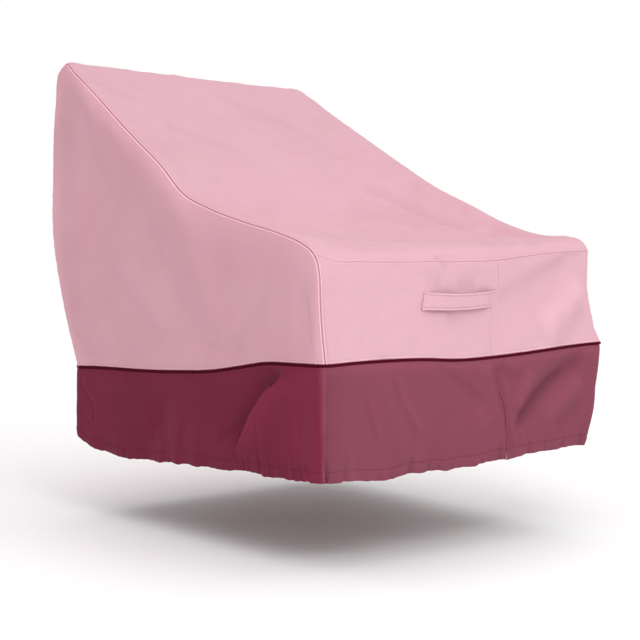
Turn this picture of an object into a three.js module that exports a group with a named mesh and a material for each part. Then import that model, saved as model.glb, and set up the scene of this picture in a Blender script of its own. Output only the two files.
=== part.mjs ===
// Fitted outdoor furniture cover in the shape in which it hangs in use: hollow and open below.
// Millimetres, +Z up, the front towards -Y, +X to the right as seen from the front.
// The tables measure heights from the ground, and depths from a line 33 mm behind the front.
// The group then moves everything so that the origin is where the cover is carried.
import * as THREE from 'three';

const { clamp, lerp, smoothstep } = THREE.MathUtils;

// Cloth and trim
const CLOTH = 2; // coated polyester with its turned seams, drawn as one sheet
const SEAM_GAP = 0.4; // between two panels along a seam
const PIPING_RADIUS = 3.1;
const PIPING_PROUD = 0.5; // how far the cord's centre stands outside the cloth's face
const PIPING_ROOM = 3.7; // from the cord's centre to the cloth above and below it
const PIPING_SIDES = 8;

// Plan of the cover at the piping, a rounded rectangle
const HALF_WIDTH = 391;
const FRONT_Y = -33;
const BACK_Y = 868;
const PLAN_CORNER = 28;
const WIDTH = 2 * HALF_WIDTH;
const DEPTH = BACK_Y - FRONT_Y;
const PERIMETER = 2 * (WIDTH + DEPTH);

// Where the cover is carried: under the middle of its top edge
const CARRY_Y = 961;
const CARRY_Z = 1000;

// Half the cover's width at each height: the side panels lean in towards the top.
const LEAN_IN = [
  { z: 330, half: 391 },
  { z: 423, half: 391 },
  { z: 520, half: 388.5 },
  { z: 617, half: 384 },
  { z: 700, half: 375 },
  { z: 746, half: 369 },
  { z: 870, half: 361 },
  { z: 996, half: 354 },
  { z: 1040, half: 352 },
];

// The band of cloth that runs up the front, back over the low and the sloping top, and down behind,
// section by section: its left and right edges, how far its middle dips, and its edges' rounding.
const SECTIONS = [
  { at: 'front piping', leftY: -33, leftZ: 425, rightY: -33, rightZ: 421, dip: 0, edge: 28 },
  { at: 'front low', leftY: -21, leftZ: 490, rightY: -17, rightZ: 488, dip: 0, edge: 22 },
  { at: 'front middle', leftY: -13, leftZ: 549, rightY: -7, rightZ: 545, dip: 2, edge: 18 },
  { at: 'front high', leftY: -6, leftZ: 603, rightY: -9, rightZ: 606, dip: 5, edge: 16 },
  { at: 'nose foot', leftY: 5, leftZ: 630, rightY: -7, rightZ: 628, dip: 7, edge: 15 },
  { at: 'nose', leftY: 23, leftZ: 647, rightY: 10, rightZ: 643, dip: 8, edge: 14 },
  { at: 'nose top', leftY: 59, leftZ: 662, rightY: 41, rightZ: 649, dip: 11, edge: 14 },
  { at: 'low top front', leftY: 125, leftZ: 677, rightY: 112, rightZ: 648, dip: 18, edge: 14 },
  { at: 'low top', leftY: 250, leftZ: 696, rightY: 235, rightZ: 670, dip: 32, edge: 14 },
  { at: 'low top rear', leftY: 370, leftZ: 718, rightY: 355, rightZ: 711, dip: 38, edge: 14 },
  { at: 'bend', leftY: 469, leftZ: 746, rightY: 459, rightZ: 746, dip: 36, edge: 14 },
  { at: 'slope low', leftY: 558, leftZ: 804, rightY: 557, rightZ: 789, dip: 28, edge: 14 },
  { at: 'slope middle', leftY: 698, leftZ: 882, rightY: 697, rightZ: 854, dip: 18, edge: 14 },
  { at: 'slope high', leftY: 843, leftZ: 968, rightY: 847, rightZ: 925, dip: 10, edge: 15 },
  { at: 'crest front', leftY: 914, leftZ: 1008, rightY: 920, rightZ: 963, dip: 5, edge: 18 },
  { at: 'crest', leftY: 961, leftZ: 1033, rightY: 962, rightZ: 979, dip: 2, edge: 22 },
  { at: 'shoulder', leftY: 992, leftZ: 1012, rightY: 989, rightZ: 959, dip: 2, edge: 22 },
  { at: 'back high', leftY: 998, leftZ: 935, rightY: 996, rightZ: 895, dip: 3, edge: 16 },
  { at: 'back middle', leftY: 999, leftZ: 800, rightY: 998, rightZ: 775, dip: 6, edge: 16 },
  { at: 'back lower', leftY: 983, leftZ: 670, rightY: 983, rightZ: 645, dip: 8, edge: 18 },
  { at: 'back low', leftY: 928, leftZ: 487, rightY: 928, rightZ: 470, dip: 6, edge: 22 },
  { at: 'back piping', leftY: 868, leftZ: 340, rightY: 868, rightZ: 345, dip: 0, edge: 28 },
];

// Around the cover: the heights of the piping and of the hem, how far the skirt leans inwards
// by the hem, and how much further the hem's elastic draws it in.
const AROUND = [
  { side: 'front', at: -391, piping: 424, hem: 188, lean: 10, tuck: 16 },
  { side: 'front', at: -326, piping: 425, hem: 187, lean: 10, tuck: 10 },
  { side: 'front', at: -240, piping: 424, hem: 180, lean: 10, tuck: 8 },
  { side: 'front', at: -140, piping: 420, hem: 184, lean: 10, tuck: 8 },
  { side: 'front', at: -30, piping: 411, hem: 181, lean: 10, tuck: 8 },
  { side: 'front', at: 63, piping: 410, hem: 184, lean: 10, tuck: 8 },
  { side: 'front', at: 160, piping: 412, hem: 187, lean: 10, tuck: 8 },
  { side: 'front', at: 240, piping: 415, hem: 191, lean: 10, tuck: 10 },
  { side: 'front', at: 330, piping: 418, hem: 193, lean: 6, tuck: 14 },
  { side: 'front', at: 391, piping: 419, hem: 192, lean: 4, tuck: 18 },
  { side: 'right', at: 60, piping: 416, hem: 184, lean: 4, tuck: 10 },
  { side: 'right', at: 155, piping: 409, hem: 179, lean: 5, tuck: 8 },
  { side: 'right', at: 340, piping: 377, hem: 170, lean: 5, tuck: 8 },
  { side: 'right', at: 580, piping: 355, hem: 154, lean: 5, tuck: 8 },
  { side: 'right', at: 760, piping: 346, hem: 150, lean: 4, tuck: 10 },
  { side: 'right', at: 868, piping: 341, hem: 172, lean: 0, tuck: 14 },
  { side: 'back', at: 300, piping: 341, hem: 160, lean: -8, tuck: 6 },
  { side: 'back', at: 0, piping: 337, hem: 154, lean: -12, tuck: 6 },
  { side: 'back', at: -300, piping: 336, hem: 160, lean: -10, tuck: 6 },
  { side: 'left', at: 866, piping: 337, hem: 180, lean: -8, tuck: 8 },
  { side: 'left', at: 836, piping: 338, hem: 166, lean: -3, tuck: 7 },
  { side: 'left', at: 790, piping: 342, hem: 156, lean: 3, tuck: 6 },
  { side: 'left', at: 715, piping: 347, hem: 150, lean: 5, tuck: 6 },
  { side: 'left', at: 580, piping: 355, hem: 155, lean: 6, tuck: 6 },
  { side: 'left', at: 450, piping: 366, hem: 165, lean: 6, tuck: 6 },
  { side: 'left', at: 340, piping: 378, hem: 171, lean: 6, tuck: 6 },
  { side: 'left', at: 240, piping: 396, hem: 179, lean: 6, tuck: 6 },
  { side: 'left', at: 155, piping: 412, hem: 180, lean: 6, tuck: 6 },
  { side: 'left', at: 60, piping: 419, hem: 183, lean: 8, tuck: 8 },
];

// Seams that cross the band. The front top seam is given by its distance along the band.
const FRONT_TOP_SEAM = [
  { x: -391, along: 226 },
  { x: -369, along: 214 },
  { x: -345, along: 200 },
  { x: -272, along: 197 },
  { x: -85, along: 191 },
  { x: 98, along: 188 },
  { x: 262, along: 198 },
  { x: 391, along: 202 },
];
const BACK_TOP_SEAM = 1290;
const FRONT_SEAM = [
  { along: 0, x: 65 },
  { along: 60, x: 71 },
  { along: 105, x: 90 },
  { along: 125, x: 103 },
  { along: 165, x: 106 },
  { along: 205, x: 100 },
];

// Soft folds of the band: from and to by width and distance along it. A ridge has a negative depth.
const BAND_FOLDS = [
  { fold: 'right trough', x1: 150, a1: 790, x2: 300, a2: 460, width: 46, depth: 6 },
  { fold: 'right trough, front', x1: 300, a1: 460, x2: 345, a2: 330, width: 34, depth: 5 },
  { fold: 'left trough', x1: -190, a1: 760, x2: -310, a2: 470, width: 50, depth: 4 },
  { fold: 'lump on the right', x1: 350, a1: 748, x2: 338, a2: 700, width: 24, depth: -7 },
  { fold: 'slope crease', x1: 200, a1: 1030, x2: 275, a2: 800, width: 30, depth: 3 },
  { fold: 'front right trough', x1: 335, a1: 168, x2: 105, a2: 62, width: 38, depth: 8 },
  { fold: 'trough over the handle', x1: -140, a1: 166, x2: 85, a2: 152, width: 15, depth: 3 },
  { fold: 'trough by the left corner', x1: -348, a1: 165, x2: -346, a2: 30, width: 18, depth: 4 },
  { fold: 'back hollow', x1: -220, a1: 1500, x2: 180, a2: 1780, width: 70, depth: 6 },
  { fold: 'back ridge', x1: 240, a1: 1420, x2: 290, a2: 1800, width: 40, depth: -5 },
];

// Soft folds of the side panels, by depth from the front and height.
const SIDE_FOLDS = [
  { fold: 'long hollow', y1: 620, z1: 725, y2: 440, z2: 500, width: 70, depth: 5 },
  { fold: 'low hollow', y1: 380, z1: 445, y2: 270, z2: 425, width: 26, depth: 4 },
  { fold: 'front hollow', y1: 50, z1: 560, y2: 32, z2: 470, width: 28, depth: 4 },
  { fold: 'rear ridge', y1: 900, z1: 860, y2: 800, z2: 480, width: 60, depth: -5 },
];

// Folds of the skirt: where each runs from near the piping to near the hem, the second place
// counted on the same side, and how far down the skirt each end lies, from 0 to 1.
const SKIRT_FOLDS = [
  { side: 'front', at1: 276, v1: 0.05, at2: 180, v2: 0.9, width: 26, depth: 13 },
  { side: 'front', at1: 318, v1: 0.05, at2: 250, v2: 0.9, width: 28, depth: -5 },
  { side: 'front', at1: 405, v1: 0.3, at2: 290, v2: 0.95, width: 24, depth: 8 },
  { side: 'front', at1: 70, v1: 0, at2: 138, v2: 0.85, width: 16, depth: 5 },
  { side: 'front', at1: -112, v1: 0, at2: 33, v2: 0.4, width: 22, depth: 5 },
  { side: 'front', at1: -262, v1: 0.1, at2: -180, v2: 0.75, width: 30, depth: -7 },
  { side: 'front', at1: -330, v1: 0.15, at2: -290, v2: 0.9, width: 28, depth: 5 },
  { side: 'front', at1: -60, v1: 0.4, at2: -95, v2: 1, width: 24, depth: 5 },
  { side: 'left', at1: 74, v1: 0, at2: 285, v2: 0.9, width: 22, depth: -9 },
  { side: 'left', at1: 150, v1: 0, at2: 340, v2: 0.85, width: 38, depth: 11 },
  { side: 'left', at1: 40, v1: 0.4, at2: 86, v2: 1, width: 20, depth: 5 },
  { side: 'left', at1: 500, v1: 0.3, at2: 575, v2: 0.95, width: 40, depth: 5 },
  { side: 'left', at1: 840, v1: 0.05, at2: 790, v2: 0.75, width: 20, depth: 7 },
  { side: 'back', at1: -300, v1: 0, at2: -250, v2: 0.9, width: 30, depth: 8 },
  { side: 'back', at1: -90, v1: 0.05, at2: -170, v2: 0.9, width: 34, depth: 9 },
  { side: 'back', at1: 120, v1: 0, at2: 60, v2: 0.95, width: 28, depth: 8 },
  { side: 'back', at1: 250, v1: 0.05, at2: 310, v2: 0.9, width: 26, depth: 9 },
  { side: 'right', at1: 760, v1: 0, at2: 690, v2: 0.9, width: 30, depth: 9 },
  { side: 'right', at1: 560, v1: 0.05, at2: 610, v2: 0.9, width: 34, depth: 8 },
  { side: 'right', at1: 300, v1: 0, at2: 400, v2: 0.9, width: 36, depth: 10 },
  { side: 'right', at1: 110, v1: 0.05, at2: 170, v2: 0.9, width: 28, depth: 8 },
];
const HEM_WAVE = { pitch: 96, drift: 410, height: 2.5, depth: 3 };

// The front right corner, which the piping draws out to a point. Each way it moves by out, less further
// from the corner, by a share of that above the piping, and not at all from gone upwards.
const CORNER_PULL = { out: 11, reach: 24, panelShare: 0.5, pipingTop: 426, flareTop: 455, gone: 570 };

// The carrying handle on the front, a strap sewn down at both ends
const HANDLE = {
  thickness: 2.4,
  foot: 0.9, // its ends' distance from the cloth
  stand: 8.8, // its lower edge's stand-off between the ends, beyond the foot
  lift: 3, // its upper edge stands this much further off
  rise: 0.22, // share of its length over which it rises at each end
};
const HANDLE_EDGES = [
  { edge: 'lower', x1: -122, a1: 95.5, x2: 81, a2: 95, sag: 3.5 },
  { edge: 'upper', x1: -110, a1: 132, x2: 98, a2: 128, sag: 6 },
];

// Finishes
const PANEL_CLOTH = { color: '#dcabb8', roughness: 0.72, metalness: 0 };
const SKIRT_CLOTH = { color: '#7c3346', roughness: 0.66, metalness: 0 };
const PIPING_CLOTH = { color: '#4a0717', roughness: 0.55, metalness: 0 };

// A smooth curve through the rows of a table. A period makes it close on itself.
function curve(rows, along, key, period = 0) {
  let knots = rows.map((row) => ({ t: row[along], value: row[key] }));
  if (period) {
    const before = knots.slice(-2).map((knot) => ({ t: knot.t - period, value: knot.value }));
    const after = knots.slice(0, 2).map((knot) => ({ t: knot.t + period, value: knot.value }));
    knots = [...before, ...knots, ...after];
  }
  const last = knots.length - 1;
  const rise = (i) => (knots[i + 1].value - knots[i].value) / (knots[i + 1].t - knots[i].t);
  const slope = (i) => {
    if (i === 0) return rise(0);
    if (i === last) return rise(last - 1);
    const left = knots[i].t - knots[i - 1].t;
    const right = knots[i + 1].t - knots[i].t;
    return (rise(i - 1) * right + rise(i) * left) / (left + right);
  };
  const slopes = knots.map((knot, i) => slope(i));
  return (t) => {
    let i = 0;
    while (i < last - 1 && t >= knots[i + 1].t) i += 1;
    const span = knots[i + 1].t - knots[i].t;
    const k = clamp((t - knots[i].t) / span, 0, 1);
    const start = (2 * k - 3) * k * k + 1;
    const leave = ((k - 2) * k + 1) * k * span;
    const arrive = (k - 1) * k * k * span;
    return start * knots[i].value + leave * slopes[i] + (1 - start) * knots[i + 1].value
      + arrive * slopes[i + 1];
  };
}

const halfWidth = curve(LEAN_IN, 'z', 'half');

// Each section's distance along the band, measured on its left edge
SECTIONS.forEach((row, i) => {
  const before = SECTIONS[i - 1];
  row.along = before
    ? before.along + Math.hypot(row.leftY - before.leftY, row.leftZ - before.leftZ)
    : 0;
});
const BAND_LENGTH = SECTIONS[SECTIONS.length - 1].along;
const section = {};
for (const key of ['leftY', 'leftZ', 'rightY', 'rightZ', 'dip', 'edge']) {
  section[key] = curve(SECTIONS, 'along', key);
}

// Distance around the plan rectangle, from its front left corner past the front, right, back and left
function around(side, at) {
  if (side === 'front') return at + HALF_WIDTH;
  if (side === 'right') return WIDTH + at - FRONT_Y;
  if (side === 'back') return WIDTH + DEPTH + HALF_WIDTH - at;
  return 2 * WIDTH + DEPTH + BACK_Y - at;
}

AROUND.forEach((row) => {
  row.along = around(row.side, row.at);
});
const rim = {};
for (const key of ['piping', 'hem', 'lean', 'tuck']) {
  rim[key] = curve(AROUND, 'along', key, PERIMETER);
}

// The plan rectangle's point and outward direction, its corners rounded
const PLAN_SIDES = [
  { from: 0, length: WIDTH, x: -HALF_WIDTH, y: FRONT_Y, run: [1, 0], out: [0, -1] },
  { from: WIDTH, length: DEPTH, x: HALF_WIDTH, y: FRONT_Y, run: [0, 1], out: [1, 0] },
  { from: WIDTH + DEPTH, length: WIDTH, x: HALF_WIDTH, y: BACK_Y, run: [-1, 0], out: [0, 1] },
  { from: 2 * WIDTH + DEPTH, length: DEPTH, x: -HALF_WIDTH, y: BACK_Y, run: [0, -1], out: [-1, 0] },
];
function plan(along) {
  const g = THREE.MathUtils.euclideanModulo(along, PERIMETER);
  const side = PLAN_SIDES.findLast((row) => g >= row.from);
  const step = clamp(g - side.from, 0, side.length);
  const near = Math.min(step, side.length - step);
  const turn = step * 2 < side.length ? -1 : 1;
  const angle = near < PLAN_CORNER ? (1 - near / PLAN_CORNER) * (Math.PI / 4) * turn : 0;
  const base = near < PLAN_CORNER ? (turn < 0 ? PLAN_CORNER : side.length - PLAN_CORNER) : step;
  const reach = PLAN_CORNER * Math.sin(angle);
  const inset = PLAN_CORNER * (1 - Math.cos(angle));
  const [rx, ry] = side.run;
  const [ox, oy] = side.out;
  return {
    x: side.x + rx * (base + reach) - ox * inset,
    y: side.y + ry * (base + reach) - oy * inset,
    outX: ox * Math.cos(angle) + rx * Math.sin(angle),
    outY: oy * Math.cos(angle) + ry * Math.sin(angle),
  };
}

// A point of the cover after the front right corner is drawn out
function drawnOut(point) {
  const { out, reach, panelShare, pipingTop, flareTop, gone } = CORNER_PULL;
  const apart = Math.hypot(point.x - HALF_WIDTH, point.y - FRONT_Y) / reach;
  const share = lerp(1, panelShare, smoothstep(point.z, pipingTop, flareTop));
  const pull = out * Math.exp(-apart * apart) * share * (1 - smoothstep(point.z, flareTop, gone));
  return point.add(new THREE.Vector3(pull, -pull, 0));
}

// Outward direction of the band in the side view. It is level at the band's two ends.
const LEVEL_END = 40;
function bandOut(along) {
  const change = (key) => section[key](along + 1) - section[key](along - 1);
  const level = smoothstep(along, 0, LEVEL_END) * smoothstep(BAND_LENGTH - along, 0, LEVEL_END);
  const dy = (change('leftY') + change('rightY')) * level;
  const dz = change('leftZ') + change('rightZ');
  const length = Math.hypot(dz, dy);
  return { y: -dz / length, z: dy / length };
}

// The band's line in the side view at a share of its width, its ends brought to the piping's wavy line
const END_FADE = 150;
function bandLine(share, along) {
  const x = (2 * share - 1) * HALF_WIDTH;
  const height = (at) => lerp(section.leftZ(at), section.rightZ(at), share);
  const frontError = rim.piping(around('front', x)) + PIPING_ROOM - height(0);
  const backError = rim.piping(around('back', x)) + PIPING_ROOM - height(BAND_LENGTH);
  return {
    y: lerp(section.leftY(along), section.rightY(along), share),
    z: height(along) + frontError * (1 - smoothstep(along, 0, END_FADE))
      + backError * (1 - smoothstep(BAND_LENGTH - along, 0, END_FADE)),
  };
}

// Depth of a set of folds at a point: each is a soft trough along a line
function foldDepth(folds, keys, p, q) {
  const [p1, q1, p2, q2] = keys;
  let depth = 0;
  for (const fold of folds) {
    const dp = fold[p2] - fold[p1];
    const dq = fold[q2] - fold[q1];
    const share = clamp(((p - fold[p1]) * dp + (q - fold[q1]) * dq) / (dp * dp + dq * dq), 0, 1);
    const away = Math.hypot(p - fold[p1] - dp * share, q - fold[q1] - dq * share) / fold.width;
    depth += fold.depth * Math.exp(-away * away);
  }
  return depth;
}

// The band's face: across runs from -1 to 1, and past FLAT the cloth rounds over to the side seam.
// The folds fade out from FOLD_END of the flat part, and the dip is deepest in the middle.
const FLAT = 0.955;
const FOLD_END = 0.9;
const EIGHTH_TURN = Math.PI / 4;
function band(across, along) {
  const size = Math.abs(across);
  const sign = Math.sign(across);
  const { y, z } = bandLine((across + 1) / 2, along);
  const out = bandOut(along);
  const edge = section.edge(along);
  const half = halfWidth(z);
  const angle = EIGHTH_TURN * clamp((size - FLAT) / (1 - FLAT), 0, 1);
  const x = size <= FLAT
    ? (across / FLAT) * (half - edge)
    : sign * (half - edge + edge * Math.sin(angle));
  const middle = clamp(size / FLAT, 0, 1);
  const free = 1 - smoothstep(middle, FOLD_END, 1);
  const drop = section.dip(along) * (1 - middle ** 3)
    + foldDepth(BAND_FOLDS, ['x1', 'a1', 'x2', 'a2'], x, along) * free
    + edge * (1 - Math.cos(angle));
  return drawnOut(new THREE.Vector3(x, y - out.y * drop, z - out.z * drop));
}

// A side panel's face: down runs from 0 at the seam to 1 at the piping, and up to ROUND the cloth
// rounds over from the seam. Its folds fade in and out over shares of the rest.
const ROUND = 0.06;
const FOOT_INSET = 45; // how far from the plan's corners the panel's two upright edges end
const SIDE_FADE_IN = 0.25;
const SIDE_FADE_OUT = 0.85;
function sidePanel(side, along, down) {
  const share = side < 0 ? 0 : 1;
  const line = bandLine(share, along);
  const out = bandOut(along);
  const edge = section.edge(along);
  const angle = EIGHTH_TURN * (1 + clamp(down / ROUND, 0, 1));
  const inset = edge * (1 - Math.cos(angle));
  const q = clamp((down - ROUND) / (1 - ROUND), 0, 1);
  const footY = FRONT_Y + FOOT_INSET + (DEPTH - 2 * FOOT_INSET) * (along / BAND_LENGTH);
  const footZ = rim.piping(around(side < 0 ? 'left' : 'right', footY)) + PIPING_ROOM;
  const y = lerp(line.y - out.y * inset, footY, q);
  const lowest = rim.piping(around(side < 0 ? 'left' : 'right', y)) + PIPING_ROOM;
  const z = Math.max(lowest, lerp(line.z - out.z * inset, footZ, q));
  const free = smoothstep(q, 0, SIDE_FADE_IN) * (1 - smoothstep(q, SIDE_FADE_OUT, 1));
  const drop = foldDepth(SIDE_FOLDS, ['y1', 'z1', 'y2', 'z2'], y, z) * free;
  const x = halfWidth(z) - edge * (1 - Math.sin(angle)) - drop;
  return drawnOut(new THREE.Vector3(side * x, y, z));
}

// How far the skirt's folds move its face inwards. Each fades over the places that its ends name,
// and none starts above HELD, where the piping's seam holds the cloth.
const HELD = 0.12;
function skirtFolds(along, v) {
  let depth = 0;
  for (const fold of SKIRT_FOLDS) {
    const share = (v - fold.v1) / (fold.v2 - fold.v1);
    const from = around(fold.side, fold.at1);
    const to = around(fold.side, fold.at2);
    const centre = lerp(from, to, clamp(share, -0.2, 1.2));
    const fade = smoothstep(share, -0.25, 0.25) * (1 - smoothstep(share, 0.95, 1.35));
    const apart = THREE.MathUtils.euclideanModulo(along - centre + PERIMETER / 2, PERIMETER);
    const away = (apart - PERIMETER / 2) / fold.width;
    depth += fold.depth * fade * Math.exp(-away * away);
  }
  return depth * smoothstep(v, 0, HELD);
}

// The skirt's face: v runs from 0 under the piping to 1 at the hem, which its elastic draws in.
function skirt(along, v) {
  const g = THREE.MathUtils.euclideanModulo(along, PERIMETER);
  const foot = plan(g);
  const turn = 2 * Math.PI * g;
  const swing = Math.sin(turn / HEM_WAVE.pitch + 2 * Math.sin(turn / HEM_WAVE.drift));
  const gather = v ** 4;
  const top = rim.piping(g) - PIPING_ROOM;
  const z = lerp(top, rim.hem(g) + HEM_WAVE.height * swing, v);
  const drawn = (rim.tuck(g) + HEM_WAVE.depth * swing) * gather;
  const inwards = rim.lean(g) * v + drawn + skirtFolds(g, v);
  const point = new THREE.Vector3(foot.x - foot.outX * inwards, foot.y - foot.outY * inwards, z);
  return drawnOut(point);
}

// A face's outward direction, from its slopes both ways and a point well inside the cover
const INSIDE = new THREE.Vector3(0, 430, 380);
function outward(face, a, b, stepA, stepB) {
  const alongA = face(a + stepA, b).sub(face(a - stepA, b));
  const alongB = face(a, b + stepB).sub(face(a, b - stepB));
  const out = alongA.cross(alongB).normalize();
  const away = face(a, b).sub(INSIDE);
  return out.dot(away) < 0 ? out.negate() : out;
}

// A closed solid between two grids of points, rows of equal length. A loop joins its last row to its first.
function solidBetween(outer, inner, loop = false) {
  const rows = outer.length;
  const columns = outer[0].length;
  const points = [...outer.flat(), ...inner.flat()];
  const index = (layer, i, j) => layer * rows * columns + (i % rows) * columns + j;
  const faces = [];
  const quad = (a, b, c, d) => faces.push(a, b, c, a, c, d);
  for (let i = 0; i < (loop ? rows : rows - 1); i += 1) {
    for (let j = 0; j < columns - 1; j += 1) {
      quad(index(0, i, j), index(0, i + 1, j), index(0, i + 1, j + 1), index(0, i, j + 1));
      quad(index(1, i, j + 1), index(1, i + 1, j + 1), index(1, i + 1, j), index(1, i, j));
    }
    quad(index(1, i, 0), index(1, i + 1, 0), index(0, i + 1, 0), index(0, i, 0));
    const end = columns - 1;
    quad(index(0, i, end), index(0, i + 1, end), index(1, i + 1, end), index(1, i, end));
  }
  for (let j = 0; j < columns - 1 && !loop; j += 1) {
    const end = rows - 1;
    quad(index(0, 0, j), index(0, 0, j + 1), index(1, 0, j + 1), index(1, 0, j));
    quad(index(1, end, j), index(1, end, j + 1), index(0, end, j + 1), index(0, end, j));
  }
  let volume = 0;
  for (let k = 0; k < faces.length; k += 3) {
    const [a, b, c] = [points[faces[k]], points[faces[k + 1]], points[faces[k + 2]]];
    volume += a.dot(new THREE.Vector3().crossVectors(b, c));
  }
  if (volume < 0) faces.reverse();
  const geometry = new THREE.BufferGeometry().setFromPoints(points);
  geometry.setIndex(faces);
  geometry.computeVertexNormals();
  return geometry;
}

// A sheet of cloth whose outer side follows a face
function cloth(face, grid, stepA, stepB) {
  const outer = grid.map((row) => row.map(([a, b]) => face(a, b)));
  const inner = grid.map((row, i) => row.map(([a, b], j) => {
    const out = outward(face, a, b, stepA, stepB);
    return outer[i][j].clone().addScaledVector(out, -CLOTH);
  }));
  return solidBetween(outer, inner);
}

const frontTopSeam = curve(FRONT_TOP_SEAM, 'x', 'along');
const frontSeam = curve(FRONT_SEAM, 'along', 'x');
const frontTopSeamAt = (across) => frontTopSeam(across * HALF_WIDTH);

// Rows of points: along the front from the piping to the top seam, over the top, and down the back
const FRONT_SHARES = [0, 0.14, 0.3, 0.46, 0.6, 0.74, 0.87, 1];
const TOP_ROWS = [
  236, 250, 268, 300, 341, 400, 467, 530, 589, 640, 692, 724, 760, 798, 878, 958, 1040, 1127, 1175, 1209,
  1235, 1254, 1271, BACK_TOP_SEAM,
];
const BACK_ROWS = [
  BACK_TOP_SEAM, 1310, 1335, 1373, 1440, 1508, 1575, 1639, 1735, 1830, 1910, 1955, BAND_LENGTH,
];

// Columns of points across the band, mirrored, closer where the cloth rounds over to the sides
const HALF_COLUMNS = [0.16, 0.33, 0.5, 0.66, 0.8, 0.9, FLAT, (1 + FLAT) / 2, 1];
const LEFT_OF_SEAM = 0.2;
const RIGHT_OF_SEAM = 0.32;
const SEAM_TRIM = 0.0008; // takes half a seam gap off each edge of the band
const COLUMNS = [...HALF_COLUMNS.toReversed().map((c) => -c), 0, ...HALF_COLUMNS]
  .map((c) => c * (1 - SEAM_TRIM));
const ACROSS_STEP = 0.0004;
const ALONG_STEP = 0.2;

// The band's share across at which a point x lies on its flat part
function acrossAt(x, along) {
  const height = lerp(section.leftZ(along), section.rightZ(along), 0.5);
  return (x / (halfWidth(height) - section.edge(along))) * FLAT;
}

// A front panel: its columns stand at fixed shares across, apart from the one beside the upright seam.
function frontPanel(columns, atSeam) {
  const grid = FRONT_SHARES.map((share) => columns.map((across) => (
    [across, share * (frontTopSeamAt(across) - SEAM_GAP / 2)]
  )));
  const seamTop = frontTopSeam(frontSeam(BAND_LENGTH)) - SEAM_GAP / 2;
  const seamSide = FRONT_SHARES.map((share) => {
    const along = share * seamTop;
    return [acrossAt(frontSeam(along) + (atSeam * SEAM_GAP) / 2, along), along];
  });
  return cloth(
    band,
    grid.map((row, i) => (atSeam < 0 ? [...row, seamSide[i]] : [seamSide[i], ...row])),
    ACROSS_STEP,
    ALONG_STEP,
  );
}

function frontPanelLeft() {
  return frontPanel(COLUMNS.filter((across) => across < LEFT_OF_SEAM), -1);
}

function frontPanelRight() {
  return frontPanel(COLUMNS.filter((across) => across > RIGHT_OF_SEAM), 1);
}

function topPanel() {
  const grid = COLUMNS.map((across) => {
    const first = frontTopSeamAt(across) + SEAM_GAP / 2;
    return [first, ...TOP_ROWS].map((along) => [
      across,
      along === BACK_TOP_SEAM ? along - SEAM_GAP / 2 : along,
    ]);
  });
  return cloth(band, grid, ACROSS_STEP, ALONG_STEP);
}

function backPanel() {
  const grid = COLUMNS.map((across) => BACK_ROWS.map((along) => [
    across,
    along === BACK_TOP_SEAM ? along + SEAM_GAP / 2 : along,
  ]));
  return cloth(band, grid, ACROSS_STEP, ALONG_STEP);
}

const SIDE_TRIM = 0.0011; // the side panel's half of the seam gap
const SIDE_ROWS = [SIDE_TRIM, ROUND / 2, ROUND, 0.2, 0.36, 0.52, 0.68, 0.84, 1];
function sidePanelCloth(side) {
  const seam = frontTopSeamAt(side * (1 - SEAM_TRIM));
  const stations = [
    ...FRONT_SHARES.map((share) => share * seam),
    ...TOP_ROWS,
    ...BACK_ROWS.slice(1),
  ];
  const face = (along, down) => sidePanel(side, along, down);
  const grid = stations.map((along) => SIDE_ROWS.map((down) => [along, down]));
  return cloth(face, grid, ALONG_STEP, ACROSS_STEP);
}

// Places around the cover from one to another, closer at the plan's corners
function placesAround(from, to, spacing) {
  const turns = [-1, -0.5, 0, 0.5, 1];
  const corners = PLAN_SIDES.flatMap((side) => turns.map((k) => side.from + k * PLAN_CORNER));
  const fixed = [...corners, ...corners.map((g) => g + PERIMETER)]
    .filter((g) => g > from + 1 && g < to - 1);
  const stops = [from, ...fixed.sort((a, b) => a - b), to];
  const places = [];
  stops.slice(0, -1).forEach((stop, i) => {
    const length = stops[i + 1] - stop;
    const count = Math.max(1, Math.round(length / spacing));
    for (let k = 0; k < count; k += 1) places.push(stop + (length * k) / count);
  });
  return [...places, to];
}

const SKIRT_SEAM = around('front', 64);
const SKIRT_SPACING = 23;
const SKIRT_ROWS = [0, 0.14, 0.3, 0.48, 0.66, 0.82, 0.92, 1];
function skirtCloth() {
  const start = SKIRT_SEAM + SEAM_GAP / 2;
  const end = SKIRT_SEAM + PERIMETER - SEAM_GAP / 2;
  const places = placesAround(start, end, SKIRT_SPACING);
  const grid = places.map((along) => SKIRT_ROWS.map((v) => [along, v]));
  return cloth(skirt, grid, ALONG_STEP, ACROSS_STEP);
}

const PIPING_SPACING = 34;
function piping() {
  const places = placesAround(0, PERIMETER, PIPING_SPACING).slice(0, -1);
  const ring = places.map((along) => {
    const foot = plan(along);
    const height = rim.piping(along);
    return Array.from({ length: PIPING_SIDES }, (unused, k) => {
      const angle = (2 * Math.PI * (k + 0.5)) / PIPING_SIDES;
      const out = PIPING_PROUD + PIPING_RADIUS * Math.cos(angle);
      return drawnOut(new THREE.Vector3(
        foot.x + foot.outX * out,
        foot.y + foot.outY * out,
        height + PIPING_RADIUS * Math.sin(angle),
      ));
    });
  });
  const half = PIPING_SIDES / 2;
  const upper = ring.map((round) => round.slice(0, half));
  const lower = ring.map((round) => round.slice(half).toReversed());
  return solidBetween(upper, lower, true);
}

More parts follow.
